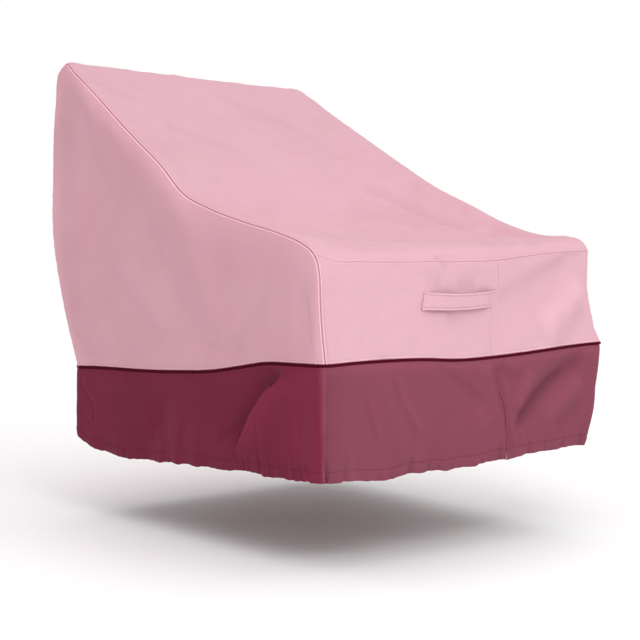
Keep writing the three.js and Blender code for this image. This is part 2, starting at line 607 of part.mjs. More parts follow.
const HANDLE_COLUMNS = 16;
const HANDLE_ROWS = [0, 0.5, 1];
function handle() {
  const layers = [HANDLE.thickness, 0].map((raised) => (
    Array.from({ length: HANDLE_COLUMNS + 1 }, (unused, i) => {
      const u = i / HANDLE_COLUMNS;
      const [lower, upper] = HANDLE_EDGES.map((edge) => ({
        x: lerp(edge.x1, edge.x2, u),
        along: lerp(edge.a1, edge.a2, u) - edge.sag * 4 * u * (1 - u),
      }));
      const risen = smoothstep(u, 0, HANDLE.rise) * smoothstep(1 - u, 0, HANDLE.rise);
      return HANDLE_ROWS.map((v) => {
        const along = lerp(lower.along, upper.along, v);
        const x = lerp(lower.x, upper.x, v);
        const across = acrossAt(x, along);
        const off = HANDLE.foot + risen * (HANDLE.stand + HANDLE.lift * v) + raised;
        const out = outward(band, across, along, ACROSS_STEP, ALONG_STEP);
        return band(across, along).addScaledVector(out, off);
      });
    })
  ));
  return solidBetween(layers[0], layers[1]);
}

function piece(name, geometry, finish) {
  const mesh = new THREE.Mesh(geometry, new THREE.MeshStandardMaterial(finish));
  mesh.name = name;
  return mesh;
}

const cover = new THREE.Group();
cover.add(
  piece('top_panel', topPanel(), PANEL_CLOTH),
  piece('front_panel_left', frontPanelLeft(), PANEL_CLOTH),
  piece('front_panel_right', frontPanelRight(), PANEL_CLOTH),
  piece('back_panel', backPanel(), PANEL_CLOTH),
  piece('side_panel_left', sidePanelCloth(-1), PANEL_CLOTH),
  piece('side_panel_right', sidePanelCloth(1), PANEL_CLOTH),
  piece('handle', handle(), PANEL_CLOTH),
  piece('piping', piping(), PIPING_CLOTH),
  piece('skirt', skirtCloth(), SKIRT_CLOTH),
);
cover.position.set(0, -CARRY_Y, -CARRY_Z);

export default cover;
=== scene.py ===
import math

import bpy
import numpy as np
from mathutils import Matrix, Vector


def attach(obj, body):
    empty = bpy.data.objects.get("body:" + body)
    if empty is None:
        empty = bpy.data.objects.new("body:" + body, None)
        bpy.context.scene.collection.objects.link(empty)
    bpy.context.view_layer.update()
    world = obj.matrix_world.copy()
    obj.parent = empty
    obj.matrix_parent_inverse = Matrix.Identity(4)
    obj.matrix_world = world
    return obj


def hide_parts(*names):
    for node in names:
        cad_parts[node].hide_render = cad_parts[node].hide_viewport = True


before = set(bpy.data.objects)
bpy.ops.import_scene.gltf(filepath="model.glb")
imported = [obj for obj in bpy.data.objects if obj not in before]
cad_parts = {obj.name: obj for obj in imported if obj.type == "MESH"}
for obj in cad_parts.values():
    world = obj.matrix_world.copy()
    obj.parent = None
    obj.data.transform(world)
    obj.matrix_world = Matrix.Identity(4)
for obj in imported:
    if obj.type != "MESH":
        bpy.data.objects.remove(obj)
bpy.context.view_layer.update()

# Fitted outdoor furniture cover in the shape in which it hangs in use: pale pink panels over a maroon
# skirt, with dark piping between them and a hem that its elastic draws in.
# Sizes are in millimetres, heights from the ground and depths from a line 33 mm behind the front.
# to_frame turns them to metres, with the origin where the cover is carried.
MM = 0.001
CARRY = np.array([0.0, 961.0, 1000.0])
GROUND_Z = -CARRY[2] * MM


def to_frame(points):
    return (np.asarray(points, float) - CARRY) * MM


def linked(name, data):
    """A new object in the scene"""
    item = bpy.data.objects.new(name, data)
    bpy.context.scene.collection.objects.link(item)
    return item


# Camera at the photograph's viewing angle

CAMERA_PLACE = (-2793.58, -2912.52, 885.27)
CAMERA_YAW = -0.69279  # radians from looking along +Y, negative towards the left side
CAMERA_PITCH = 0.09845  # looking down
CAMERA_ROLL = 0.0058
LENS_MM = 109.7
SENSOR_MM = 36.0


def add_camera():
    data = bpy.data.cameras.new("camera")
    data.lens = LENS_MM
    data.sensor_width = SENSOR_MM
    data.clip_end = 60.0
    camera = linked("camera", data)
    back = Vector((
        math.sin(CAMERA_YAW) * math.cos(CAMERA_PITCH),
        -math.cos(CAMERA_YAW) * math.cos(CAMERA_PITCH),
        math.sin(CAMERA_PITCH),
    ))
    level = Vector((0, 0, 1)).cross(back).normalized()
    rise = back.cross(level)
    turn, tilt = math.cos(CAMERA_ROLL), math.sin(CAMERA_ROLL)
    right = level * turn + rise * tilt
    up = rise * turn - level * tilt
    matrix = Matrix((right, up, back)).transposed().to_4x4()
    matrix.translation = Vector(to_frame(CAMERA_PLACE))
    camera.matrix_world = matrix
    bpy.context.scene.camera = camera


add_camera()

# Plan of the cover at the piping, a rounded rectangle

HALF_WIDTH = 391.0
FRONT_Y = -33.0
BACK_Y = 868.0
PLAN_CORNER = 28.0
WIDTH = 2 * HALF_WIDTH
DEPTH = BACK_Y - FRONT_Y
PERIMETER = 2 * (WIDTH + DEPTH)
EIGHTH_TURN = math.pi / 4

PIPING_RADIUS = 2.8
PIPING_PROUD = 0.5  # how far the piping's middle lies outside the plan
PIPING_ROOM = 2.4  # from the piping's middle up to the panels and down to the skirt
CLOTH = 1.7  # thickness of the sheets
SEAM_GAP = 0.4

# Half the cover's width at each height: the side panels lean in towards the top.
LEAN_IN = [
    (330, 391), (423, 391), (520, 388.5), (617, 384), (700, 375), (746, 369), (870, 361), (996, 354),
    (1040, 352),
]

# The band of cloth that runs up the front, back over the low and the sloping top, and down behind:
# left depth and height, right depth and height, how far its middle dips, its edges' rounding
SECTIONS = [
    (-33, 425, -33, 421, 0, 28),
    (-21, 490, -17, 488, 0, 22),
    (-13, 549, -7, 545, 2, 18),
    (-6, 603, -9, 606, 5, 16),
    (5, 630, -7, 628, 7, 15),
    (23, 647, 10, 643, 8, 14),
    (59, 662, 41, 649, 11, 14),
    (125, 677, 112, 648, 18, 14),
    (250, 696, 235, 670, 32, 14),
    (370, 718, 355, 711, 38, 14),
    (469, 746, 459, 746, 36, 14),
    (558, 804, 557, 789, 28, 14),
    (698, 882, 697, 854, 18, 14),
    (843, 968, 847, 925, 10, 15),
    (914, 1008, 920, 963, 5, 18),
    (961, 1033, 962, 979, 2, 22),
    (992, 1012, 989, 959, 2, 22),
    (998, 935, 996, 895, 3, 16),
    (999, 800, 998, 775, 6, 16),
    (983, 670, 983, 645, 8, 18),
    (928, 487, 928, 470, 6, 22),
    (868, 340, 868, 345, 0, 28),
]

# Around the cover by side: place, height of the piping, of the hem, how far the skirt leans inwards
# by the hem, and how much further the hem's elastic draws it in
AROUND = {
    "front": [
        (-391, 424, 188, 10, 16), (-326, 425, 187, 10, 10), (-240, 424, 180, 10, 8),
        (-140, 420, 184, 10, 8), (-30, 411, 181, 10, 8), (63, 410, 184, 10, 8), (160, 412, 187, 10, 8),
        (240, 415, 191, 10, 10), (330, 418, 193, 6, 14), (391, 419, 192, 4, 18),
    ],
    "right": [
        (60, 416, 184, 4, 10), (155, 409, 179, 5, 8), (340, 377, 170, 5, 8), (580, 355, 154, 5, 8),
        (760, 346, 150, 4, 10), (868, 341, 172, 0, 14),
    ],
    "back": [
        (300, 341, 160, -8, 6), (0, 337, 154, -12, 6), (-300, 336, 160, -10, 6),
    ],
    "left": [
        (866, 337, 180, -8, 8), (836, 338, 166, -3, 7), (790, 342, 156, 3, 6), (715, 347, 150, 5, 6),
        (580, 355, 155, 6, 6), (450, 366, 165, 6, 6), (340, 378, 171, 6, 6), (240, 396, 179, 6, 6),
        (155, 412, 180, 6, 6), (60, 419, 183, 8, 8),
    ],
}

# Seams that cross the band: the front top seam by width, the front's upright seam by distance along it
FRONT_TOP_SEAM = [
    (-391, 226), (-369, 216), (-345, 206), (-272, 200), (-85, 192), (98, 186), (262, 197), (391, 198),
]
FRONT_SEAM = [(0, 65), (60, 71), (105, 90), (125, 103), (165, 106), (205, 100)]
BACK_TOP_SEAM = 1290.0

# Soft folds of the band: from and to by width and distance along it, half width, and depth. A ridge
# has a negative depth.
BAND_FOLDS = [
    (150, 790, 300, 460, 46, 6), (300, 460, 345, 330, 34, 5), (-190, 760, -310, 470, 50, 4),
    (350, 748, 338, 700, 24, -7), (200, 1030, 275, 800, 30, 3), (335, 168, 105, 62, 38, 8),
    (-140, 166, 85, 152, 15, 3), (-348, 165, -346, 30, 18, 4), (-220, 1500, 180, 1780, 70, 6),
    (240, 1420, 290, 1800, 40, -5),
]
# Small creases, with one value more: how crisp the crest is, from 0, round, to 1, sharp
BAND_CREASES = [
    (-66, 205, -39, 174, 5, 2.6, 0.4), (-30, 214, -66, 199, 6, 2.0, 0.4),
    (90, 640, 210, 520, 22, 1.2, 0.2), (230, 17, 268, 3, 7, 1.3, 0.2),
    (-300, 240, -60, 236, 9, 0.7, 0.2), (20, 250, 330, 262, 12, 0.9, 0.2),
    (120, 222, 240, 230, 8, 0.6, 0.2), (-200, 1000, -60, 900, 26, 1.6, 0.1),
    (60, 1150, 170, 1060, 24, 1.4, 0.1), (-330, 1180, -250, 1120, 16, 1.6, 0.2),
    (-310, 880, -230, 930, 22, 1.2, 0.1),
]

# Soft folds of the side panels, by depth and height
SIDE_FOLDS = [
    (620, 725, 440, 500, 70, 5), (380, 445, 270, 425, 26, 4), (50, 560, 32, 470, 28, 4),
    (900, 860, 800, 480, 60, -5),
]
SIDE_CREASES = [
    (30, 548, 16, 471, 7, 1.4, 0.2), (375, 440, 271, 419, 9, 1.3, 0.2),
    (622, 725, 451, 519, 22, 1.2, 0.2), (980, 905, 955, 888, 8, 2.6, 0.4),
    (700, 560, 520, 430, 26, 1.4, 0.1), (860, 420, 760, 372, 16, 1.6, 0.2),
    (150, 560, 240, 440, 24, 1.2, 0.1),
]

# Folds of the skirt by side: place and share of the way down at both ends, half width, depth, and for
# the creases how crisp they are
SKIRT_FOLDS = {
    "front": [
        (405, 0.3, 290, 0.95, 24, 2), (70, 0.0, 138, 0.85, 16, 5), (-112, 0.0, 33, 0.4, 22, 5),
        (-262, 0.1, -180, 0.75, 30, -7), (-330, 0.15, -290, 0.9, 28, 5), (-60, 0.4, -95, 1.0, 24, 5),
    ],
    "left": [
        (40, 0.4, 86, 1.0, 20, 5), (500, 0.3, 575, 0.95, 40, 5),
    ],
    "back": [
        (-300, 0.0, -250, 0.9, 30, 8), (-90, 0.05, -170, 0.9, 34, 9), (120, 0.0, 60, 0.95, 28, 8),
        (250, 0.05, 310, 0.9, 26, 9),
    ],
    "right": [
        (760, 0.0, 690, 0.9, 30, 9), (560, 0.05, 610, 0.9, 34, 8), (300, 0.0, 400, 0.9, 36, 10),
        (110, 0.05, 170, 0.9, 28, 8),
    ],
}
SKIRT_CREASES = {
    "front": [
        (70, 0.0, 135, 0.85, 5, 2.2, 0.6), (84, 0.0, 150, 0.85, 7, -1.6, 0.3),
        (100, 0.02, 160, 0.3, 7, -1.6, 0.5), (36, 0.02, 60, 0.28, 6, -1.4, 0.5),
        (10, 0.04, 60, 0.22, 6, 1.2, 0.4), (-68, 0.05, 20, 0.3, 10, 1.8, 0.3),
    ],
    "left": [
        (430, 0.5, 470, 0.95, 14, 1.6, 0.2),
    ],
}

# Bent folds, each along a line written from its upper end: lift, right, left, points, drop, reach. Lift
# is the height of the crest, or below zero a valley's. Right and left are its half widths on the two
# sides as seen from outside. Where drop and reach are given, the cloth drops further past the left
# flank, and comes back over the reach.
# For the skirt, by side, the points are place and distance below the piping.
SKIRT_LINES = {
    "left": [
        (9, 36, 5, [
            (85, 9), (117, 40), (149, 54), (172, 73), (199, 98), (222, 127), (239, 147), (273, 176),
        ], 10, 46),
        (-4, 9, 16, [(210, 98), (277, 124), (329, 149)]),
        (2, 8, 4, [(181, 114), (180, 164), (173, 213)], 1.5, 10),
        (1.5, 8, 4, [(247, 151), (239, 178), (234, 199)], 1.5, 10),
        (2.2, 12, 4, [(826, 20), (797, 61), (781, 84), (776, 107), (786, 130)], 3, 14),
        (-1.6, 6, 6, [(839, 94), (814, 115), (785, 141)]),
        (-2, 14, 14, [(510, 81), (548, 115), (575, 149)]),
    ],
    "front": [
        (-9, 13, 26, [(358, 22), (320, 34), (280, 49), (240, 73), (204, 101), (175, 132), (139, 166)]),
        (-4, 6, 9, [(300, 44), (262, 60), (240, 73), (204, 101), (175, 132), (139, 166)]),
        (6, 22, 22, [(344, 63), (300, 90), (255, 118), (215, 150)]),
        (-4, 16, 16, [(345, 124), (318, 140), (262, 170)]),
        (3, 16, 16, [(20, 20), (60, 35)]),
        (1.5, 3, 3, [(-1, 30), (10, 48), (28, 63), (48, 59), (71, 46)]),
        (3, 12, 5, [(-212, 19), (-185, 77), (-120, 160)], 2, 16),
        (2.5, 12, 5, [(-283, 61), (-259, 112), (-237, 164)], 2, 16),
        (3, 22, 22, [(20, 105), (60, 150)]),
        (-4, 12, 12, [(74, 14), (110, 32), (160, 52)]),
        (1.6, 4, 4, [(97, 11), (122, 20), (146, 28)]),
        (5, 20, 20, [(185, 28), (165, 70), (140, 120)]),
        (2, 4, 4, [(164, 145), (167, 182)]),
    ],
}
# For the band the points are width and distance along it.
BAND_LINES = [
    (-3, 17, 17, [(345, 190), (286, 167), (195, 142), (118, 110), (89, 88)]),
    (4, 30, 30, [(366, 145), (315, 95), (215, 38)]),
    (-4, 22, 22, [(376, 91), (326, 50), (253, 4)]),
    (-2.5, 12, 12, [(-104, 152), (-54, 144)]),
    (-3, 12, 12, [(-12, 139), (46, 137)]),
    (-2, 14, 14, [(-58, 79), (8, 72)]),
    (-3, 22, 10, [(169, 779), (211, 732), (238, 675), (244, 615), (257, 560), (294, 471)]),
    (-1, 6, 6, [(65, 223), (175, 207)]),
]

HEM_WAVE_PITCH = 96.0
HEM_WAVE_DRIFT = 410.0
HEM_WAVE_HEIGHT = 1.2
HEM_WAVE_DEPTH = 2.2

# Gathers where the hem's elastic pulls, by side: place, half width, depth, how far up they reach
HEM_GATHERS = {
    "left": [
        (520, 6, 2.0, 30), (389, 5, 2.2, 34), (262, 4, 3.0, 44), (238, 4, 3.2, 52), (222, 3.5, 2.6, 40),
        (186, 4.5, 2.6, 46), (151, 6, 2.6, 60), (128, 4, 1.8, 26), (86, 4, 3.0, 40), (60, 5, 3.2, 44),
        (40, 4, 2.6, 34), (10, 4, 2.4, 30),
    ],
    "front": [
        (-368, 4, 2.2, 30), (-321, 5, 3.0, 44), (-300, 6, -2.0, 40), (-203, 5, 1.8, 28),
        (-148, 5, 2.8, 34), (-134, 4, -2.2, 46), (-92, 5, 2.6, 34), (-37, 6, 1.8, 22), (50, 5, 2.0, 26),
        (108, 5, 2.6, 34), (124, 4, -2.0, 30), (194, 5, 2.2, 30), (298, 5, 2.0, 28), (352, 5, 2.4, 36),
    ],
}
GATHER_TINT = 0.13  # painted light for each millimetre of a gather's height
CASING = 23.0  # the hem's stitch line lies this far above its edge

# The front right corner, which the piping draws out to a point
CORNER_OUT = 11.0
CORNER_REACH = 24.0
CORNER_PANEL_SHARE = 0.5
CORNER_PIPING_TOP = 426.0
CORNER_FLARE_TOP = 455.0
CORNER_GONE = 570.0

# The carrying handle on the front: its edges by width and distance along the band, and their sag
HANDLE_LOWER = (-122, 95.5, 81, 95, 3.5)
HANDLE_UPPER = (-110, 132, 98, 128, 6)
HANDLE_WIDTH = 35.0
HANDLE_LENGTH = 205.0
HANDLE_THICKNESS = 2.4
HANDLE_FOOT = 0.9
HANDLE_STAND = 8.8
HANDLE_LIFT = 3.0
HANDLE_RISE = 0.22


# Curves through tables

def curve(ts, values, period=0.0):
    """A smooth curve through the values. A period makes it close on itself."""
    ts = np.asarray(ts, float)
    values = np.asarray(values, float)
    if period:
        ts = np.concatenate([ts[-2:] - period, ts, ts[:2] + period])
        values = np.concatenate([values[-2:], values, values[:2]])
    spans = np.diff(ts)
    rises = np.diff(values) / spans
    slopes = np.empty(len(ts))
    slopes[0], slopes[-1] = rises[0], rises[-1]
    slopes[1:-1] = (rises[:-1] * spans[1:] + rises[1:] * spans[:-1]) / (spans[:-1] + spans[1:])

    def at(t):
        t = np.asarray(t, float)
        i = np.clip(np.searchsorted(ts, t, side="right") - 1, 0, len(ts) - 2)
        k = np.clip((t - ts[i]) / spans[i], 0, 1)
        start = (2 * k - 3) * k * k + 1
        leave = ((k - 2) * k + 1) * k * spans[i]
        arrive = (k - 1) * k * k * spans[i]
        return start * values[i] + leave * slopes[i] + (1 - start) * values[i + 1] + arrive * slopes[i + 1]

    return at


def smoothstep(x, low, high):
    k = np.clip((np.asarray(x, float) - low) / (high - low), 0, 1)
    return k * k * (3 - 2 * k)


def lerp(a, b, k):
    return a + (b - a) * k


def bell(x, width):
    """1 where x is 0, falling off smoothly on both sides over the width"""
    return np.exp(-(x / width) ** 2)


def around(side, at):
    """Distance around the plan from its front left corner past the front, right, back and left"""
    if side == "front":
        return at + HALF_WIDTH
    if side == "right":
        return WIDTH + at - FRONT_Y
    if side == "back":
        return WIDTH + DEPTH + HALF_WIDTH - at
    return 2 * WIDTH + DEPTH + BACK_Y - at


def distance_around(along, place):
    """Signed distance around the plan from a place, the shorter way"""
    return np.mod(along - place + PERIMETER / 2, PERIMETER) - PERIMETER / 2


half_width = curve(*zip(*LEAN_IN))
_sections = np.array(SECTIONS, float)
_left_steps = np.hypot(np.diff(_sections[:, 0]), np.diff(_sections[:, 1]))
SECTION_AT = np.concatenate([[0.0], np.cumsum(_left_steps)])
BAND_LENGTH = SECTION_AT[-1]
left_y, left_z, right_y, right_z, dip, edge_round = (curve(SECTION_AT, _sections[:, k]) for k in range(6))
_around = np.array([(around(side, at), *row) for side, rows in AROUND.items() for at, *row in rows], float)
piping_z, hem_z, skirt_lean, hem_tuck = (
    curve(_around[:, 0], _around[:, k], PERIMETER) for k in range(1, 5)
)
front_top_seam = curve(*zip(*FRONT_TOP_SEAM))
front_seam = curve(*zip(*FRONT_SEAM))


def plan(along):
    """The plan rectangle's points and outward directions, its corners rounded"""
    g = np.mod(along, PERIMETER)
    starts = np.array([0.0, WIDTH, WIDTH + DEPTH, 2 * WIDTH + DEPTH])
    lengths = np.array([WIDTH, DEPTH, WIDTH, DEPTH])
    corners = np.array([
        (-HALF_WIDTH, FRONT_Y), (HALF_WIDTH, FRONT_Y), (HALF_WIDTH, BACK_Y), (-HALF_WIDTH, BACK_Y),
    ])
    runs = np.array([(1.0, 0.0), (0.0, 1.0), (-1.0, 0.0), (0.0, -1.0)])
    outs = np.array([(0.0, -1.0), (1.0, 0.0), (0.0, 1.0), (-1.0, 0.0)])
    side = np.clip(np.searchsorted(starts, g, side="right") - 1, 0, 3)
    length = lengths[side]
    step = np.clip(g - starts[side], 0, length)
    near = np.minimum(step, length - step)
    turn = np.where(step * 2 < length, -1.0, 1.0)
    in_corner = near < PLAN_CORNER
    angle = np.where(in_corner, (1 - near / PLAN_CORNER) * EIGHTH_TURN * turn, 0.0)
    base = np.where(in_corner, np.where(turn < 0, PLAN_CORNER, length - PLAN_CORNER), step)
    reach = (base + PLAN_CORNER * np.sin(angle))[..., None]
    inset = (PLAN_CORNER * (1 - np.cos(angle)))[..., None]
    foot = corners[side] + runs[side] * reach - outs[side] * inset
    out = outs[side] * np.cos(angle)[..., None] + runs[side] * np.sin(angle)[..., None]
    return foot, out


# The cover's faces

LEVEL_END = 40.0
END_FADE = 150.0
FLAT = 0.955
FOLD_END = 0.9
ROUND = 0.06
FOOT_INSET = 45.0
HELD = 0.12
LINE_FADE = 0.18


def drawn_out(x, y, z):
    """Points of the cover after the front right corner is drawn out"""
    x, y, z = np.broadcast_arrays(x, y, z)
    apart = np.hypot(x - HALF_WIDTH, y - FRONT_Y)
    share = lerp(1, CORNER_PANEL_SHARE, smoothstep(z, CORNER_PIPING_TOP, CORNER_FLARE_TOP))
    share = share * (1 - smoothstep(z, CORNER_FLARE_TOP, CORNER_GONE))
    pull = CORNER_OUT * bell(apart, CORNER_REACH) * share
    return np.stack([x + pull, y - pull, z], -1)


def band_out(along):
    """Outward direction of the band in the side view, level at its two ends"""
    level = smoothstep(along, 0, LEVEL_END) * smoothstep(BAND_LENGTH - along, 0, LEVEL_END)
    dy = (left_y(along + 1) - left_y(along - 1) + right_y(along + 1) - right_y(along - 1)) * level
    dz = left_z(along + 1) - left_z(along - 1) + right_z(along + 1) - right_z(along - 1)
    length = np.hypot(dz, dy)
    return -dz / length, dy / length


def band_line(share, along):
    """The band's line in the side view at a share of its width, its ends on the piping's wavy line"""
    x = (2 * share - 1) * HALF_WIDTH
    front_error = piping_z(around("front", x)) + PIPING_ROOM - lerp(left_z(0), right_z(0), share)
    back_error = piping_z(around("back", x)) + PIPING_ROOM
    back_error = back_error - lerp(left_z(BAND_LENGTH), right_z(BAND_LENGTH), share)
    y = lerp(left_y(along), right_y(along), share)
    z = lerp(left_z(along), right_z(along), share)
    z = z + front_error * (1 - smoothstep(along, 0, END_FADE))
    z = z + back_error * (1 - smoothstep(BAND_LENGTH - along, 0, END_FADE))
    return y, z


def fold_depth(folds, p, q):
    """Depth of a set of folds at a point: each is a trough along a line, round or crisp"""
    depth = np.zeros(np.broadcast(p, q).shape)
    for p1, q1, p2, q2, width, deep, *crisp in folds:
        dp, dq = p2 - p1, q2 - q1
        share = np.clip(((p - p1) * dp + (q - q1) * dq) / (dp * dp + dq * dq), 0, 1)
        away = np.hypot(p - p1 - dp * share, q - q1 - dq * share) / width
        depth = depth + deep * fold_shape(away, *crisp)
    return depth


def fold_shape(away, crisp=0.0):
    """A fold's height by the distance from its line in half widths"""
    soft = bell(away, 1)
    if not crisp:
        return soft
    keen = np.exp(-1.6 * (np.sqrt(away * away + 0.01) - 0.1))
    return lerp(soft, keen, crisp)


def line_height(p, q, lift, right, left, points, drop=0, reach=1):
    """Height of one bent fold at places with p to the right and q downwards"""
    points = np.array(points, float)
    steps = np.concatenate([[0.0], np.cumsum(np.hypot(*np.diff(points, axis=0).T))])
    finer = np.linspace(0, steps[-1], 5 * len(points))
    points = np.stack([curve(steps, points[:, 0])(finer), curve(steps, points[:, 1])(finer)], -1)
    nearest = np.full(np.broadcast(p, q).shape, np.inf)
    signed, share = np.zeros_like(nearest), np.zeros_like(nearest)
    last = len(points) - 1
    for i in range(last):
        dp, dq = points[i + 1] - points[i]
        k = np.clip(((p - points[i, 0]) * dp + (q - points[i, 1]) * dq) / (dp * dp + dq * dq), 0, 1)
        off_p, off_q = p - points[i, 0] - dp * k, q - points[i, 1] - dq * k
        away = np.hypot(off_p, off_q)
        closer = away < nearest
        nearest = np.where(closer, away, nearest)
        signed = np.where(closer, away * np.where(dq * off_p < dp * off_q, -1, 1), signed)
        share = np.where(closer, (i + k) / last, share)
    body = bell(signed, np.where(signed > 0, right, left))
    height = lift * body - np.where(signed < 0, drop * (1 - body) * bell(signed, reach), 0)
    return height * smoothstep(share, 0, LINE_FADE) * (1 - smoothstep(share, 1 - LINE_FADE, 1))


def band_line_height(x, along):
    total = np.zeros(np.broadcast(x, along).shape)
    for lift, right, left, points, *fall in BAND_LINES:
        points = [(across, -down) for across, down in points]
        total = total + line_height(x, -along, lift, right, left, points, *fall)
    return total


def skirt_line_height(g, below):
    total = np.zeros(np.broadcast(g, below).shape)
    for side, rows in SKIRT_LINES.items():
        for lift, right, left, points, *fall in rows:
            points = [(around(side, at), down) for at, down in points]
            total = total + line_height(g, below, lift, right, left, points, *fall)
    return total


def band(across, along):
    """The band's face: across runs from -1 to 1, and past FLAT the cloth rounds over to the side seam."""
    size = np.abs(across)
    y, z = band_line((across + 1) / 2, along)
    out_y, out_z = band_out(along)
    edge = edge_round(along)
    half = half_width(z)
    angle = EIGHTH_TURN * np.clip((size - FLAT) / (1 - FLAT), 0, 1)
    flat_x = (across / FLAT) * (half - edge)
    x = np.where(size <= FLAT, flat_x, np.sign(across) * (half - edge + edge * np.sin(angle)))
    middle = np.clip(size / FLAT, 0, 1)
    free = 1 - smoothstep(middle, FOLD_END, 1)
    drop = dip(along) * (1 - middle ** 3) + fold_depth(BAND_FOLDS, x, along) * free
    drop = drop + edge * (1 - np.cos(angle))
    return drawn_out(x, y - out_y * drop, z - out_z * drop)


def side_panel(side, along, down):
    """A side panel's face: down runs from 0 at the seam to 1 at the piping, rounding over up to ROUND."""
    name = "left" if side < 0 else "right"
    line_y, line_z = band_line(0.0 if side < 0 else 1.0, along)
    out_y, out_z = band_out(along)
    edge = edge_round(along)
    angle = EIGHTH_TURN * (1 + np.clip(down / ROUND, 0, 1))
    inset = edge * (1 - np.cos(angle))
    q = np.clip((down - ROUND) / (1 - ROUND), 0, 1)
    foot_y = FRONT_Y + FOOT_INSET + (DEPTH - 2 * FOOT_INSET) * (along / BAND_LENGTH)
    foot_z = piping_z(around(name, foot_y)) + PIPING_ROOM
    y = lerp(line_y - out_y * inset, foot_y, q)
    lowest = piping_z(around(name, y)) + PIPING_ROOM
    z = np.maximum(lowest, lerp(line_z - out_z * inset, foot_z, q))
    free = smoothstep(q, 0, 0.25) * (1 - smoothstep(q, 0.85, 1))
    drop = fold_depth(SIDE_FOLDS, y, z) * free
    x = half_width(z) - edge * (1 - np.sin(angle)) - drop
    return drawn_out(side * x, y, z)


def skirt_fold_depth(folds, along, v):
    depth = np.zeros(np.broadcast(along, v).shape)
    for side, rows in folds.items():
        for at1, v1, at2, v2, width, deep, *crisp in rows:
            share = (v - v1) / (v2 - v1)
            centre = lerp(around(side, at1), around(side, at2), np.clip(share, -0.2, 1.2))
            fade = smoothstep(share, -0.25, 0.25) * (1 - smoothstep(share, 0.95, 1.35))
            away = distance_around(along, centre) / width
            depth = depth + deep * fade * fold_shape(np.abs(away), *crisp)
    return depth * smoothstep(v, 0, HELD)


def skirt(along, v):
    """The skirt's face: v runs from 0 under the piping to 1 at the hem, which its elastic draws in."""
    foot, out = plan(along)
    turn = 2 * math.pi * along
    swing = np.sin(turn / HEM_WAVE_PITCH + 2 * np.sin(turn / HEM_WAVE_DRIFT))
    top = piping_z(np.mod(along, PERIMETER)) - PIPING_ROOM
    g = np.mod(along, PERIMETER)
    z = lerp(top, hem_z(g) + HEM_WAVE_HEIGHT * swing, v)
    drawn = (hem_tuck(g) + HEM_WAVE_DEPTH * swing) * v ** 4
    inwards = skirt_lean(g) * v + drawn + skirt_fold_depth(SKIRT_FOLDS, g, v)
    return drawn_out(foot[..., 0] - out[..., 0] * inwards, foot[..., 1] - out[..., 1] * inwards, z)


# What sewing does to the cloth's face

STITCH_LINE = 5.3  # from the seam
SEAM_GROOVE = 0.7
SEAM_RIDGE = 0.8
FOLD_TINT = 0.055  # painted light for each millimetre of a bent fold's height


def seam_tint(distance, ridge=1.0):
    """A seam's painted light, or below zero shade, by the distance from it"""
    groove = 0.75 * bell(distance, 1.1)
    roll = 0.55 * ridge * bell(distance - 3.0, 1.5)
    dent = 0.3 * bell(distance - STITCH_LINE - 0.6, 1.0)
    return roll - groove - dent


def seam_relief(distance, ridge=1.0):
    """A turned seam's height by the distance from it: groove, rolled edge, and the topstitching's dent"""
    groove = SEAM_GROOVE * bell(distance, 0.9)
    roll = SEAM_RIDGE * ridge * bell(distance - 2.7, 1.7)
    dent = 0.3 * bell(distance - STITCH_LINE, 0.7)
    return roll - groove - dent


def wander(s, seed, pitches=(11.0, 17.0, 29.0, 47.0)):
    """A smooth irregular wave along a seam, about -1 to 1"""
    phases = np.random.RandomState(seed).uniform(0, 2 * math.pi, len(pitches))
    return sum(np.sin(2 * math.pi * s / p + f) for p, f in zip(pitches, phases)) / len(pitches) * 1.6


def pucker(distance, s, seed, reach=13.0, height=0.45):
    """Small puckers square to a seam, dying out away from it"""
    return height * wander(s, seed) * np.exp(-distance / reach)


def drape_noise(u, v, seed, pitch, height):
    """Slow unevenness of cloth under its own weight"""
    random = np.random.RandomState(seed)
    total = 0.0
    for _ in range(14):
        heading = random.uniform(0, math.pi)
        length = pitch * random.uniform(0.6, 2.2)
        phase = random.uniform(0, 2 * math.pi)
        total = total + np.sin(2 * math.pi * (u * math.cos(heading) + v * math.sin(heading)) / length + phase)
    return height * total / 5.0


# Grid spacings: fine beside a seam, wider in the field

NEAR_SEAM = np.array([
    SEAM_GAP / 2, 0.6, 1.1, 1.7, 2.3, 2.9, 3.6, 4.3, 4.9, STITCH_LINE, 5.8, 6.6, 8.0, 10.0, 13.0, 17.0, 22.0,
])
STITCH_INDEX = int(np.argmin(np.abs(NEAR_SEAM - STITCH_LINE)))


def spaced(start, end, count):
    """Places from start to end, close together beside both, which are seams. Ends may be arrays."""
    first = np.asarray(start, float)[..., None] + NEAR_SEAM
    last = np.asarray(end, float)[..., None] - NEAR_SEAM[::-1]
    share = np.linspace(0, 1, count + 2)[1:-1]
    field = first[..., -1:] + (last[..., :1] - first[..., -1:]) * share
    parts = [np.broadcast_to(part, field.shape[:-1] + part.shape[-1:]) for part in (first, field, last)]
    return np.concatenate(parts, -1)


def band_spread(along):
    """Half the band's flat width and the length of its rounded edge, by distance along it"""
    height = lerp(left_z(along), right_z(along), 0.5)
    edge = edge_round(along)
    return half_width(height) - edge, EIGHTH_TURN * edge


def band_across(p, along):
    """The share across for a distance p from the band's middle line, measured over its rounded edges"""
    flat, arc = band_spread(along)
    size = np.abs(p)
    flat_share = FLAT * p / flat
    round_share = np.sign(p) * (FLAT + (1 - FLAT) * (size - flat) / arc)
    return np.where(size <= flat, flat_share, round_share)


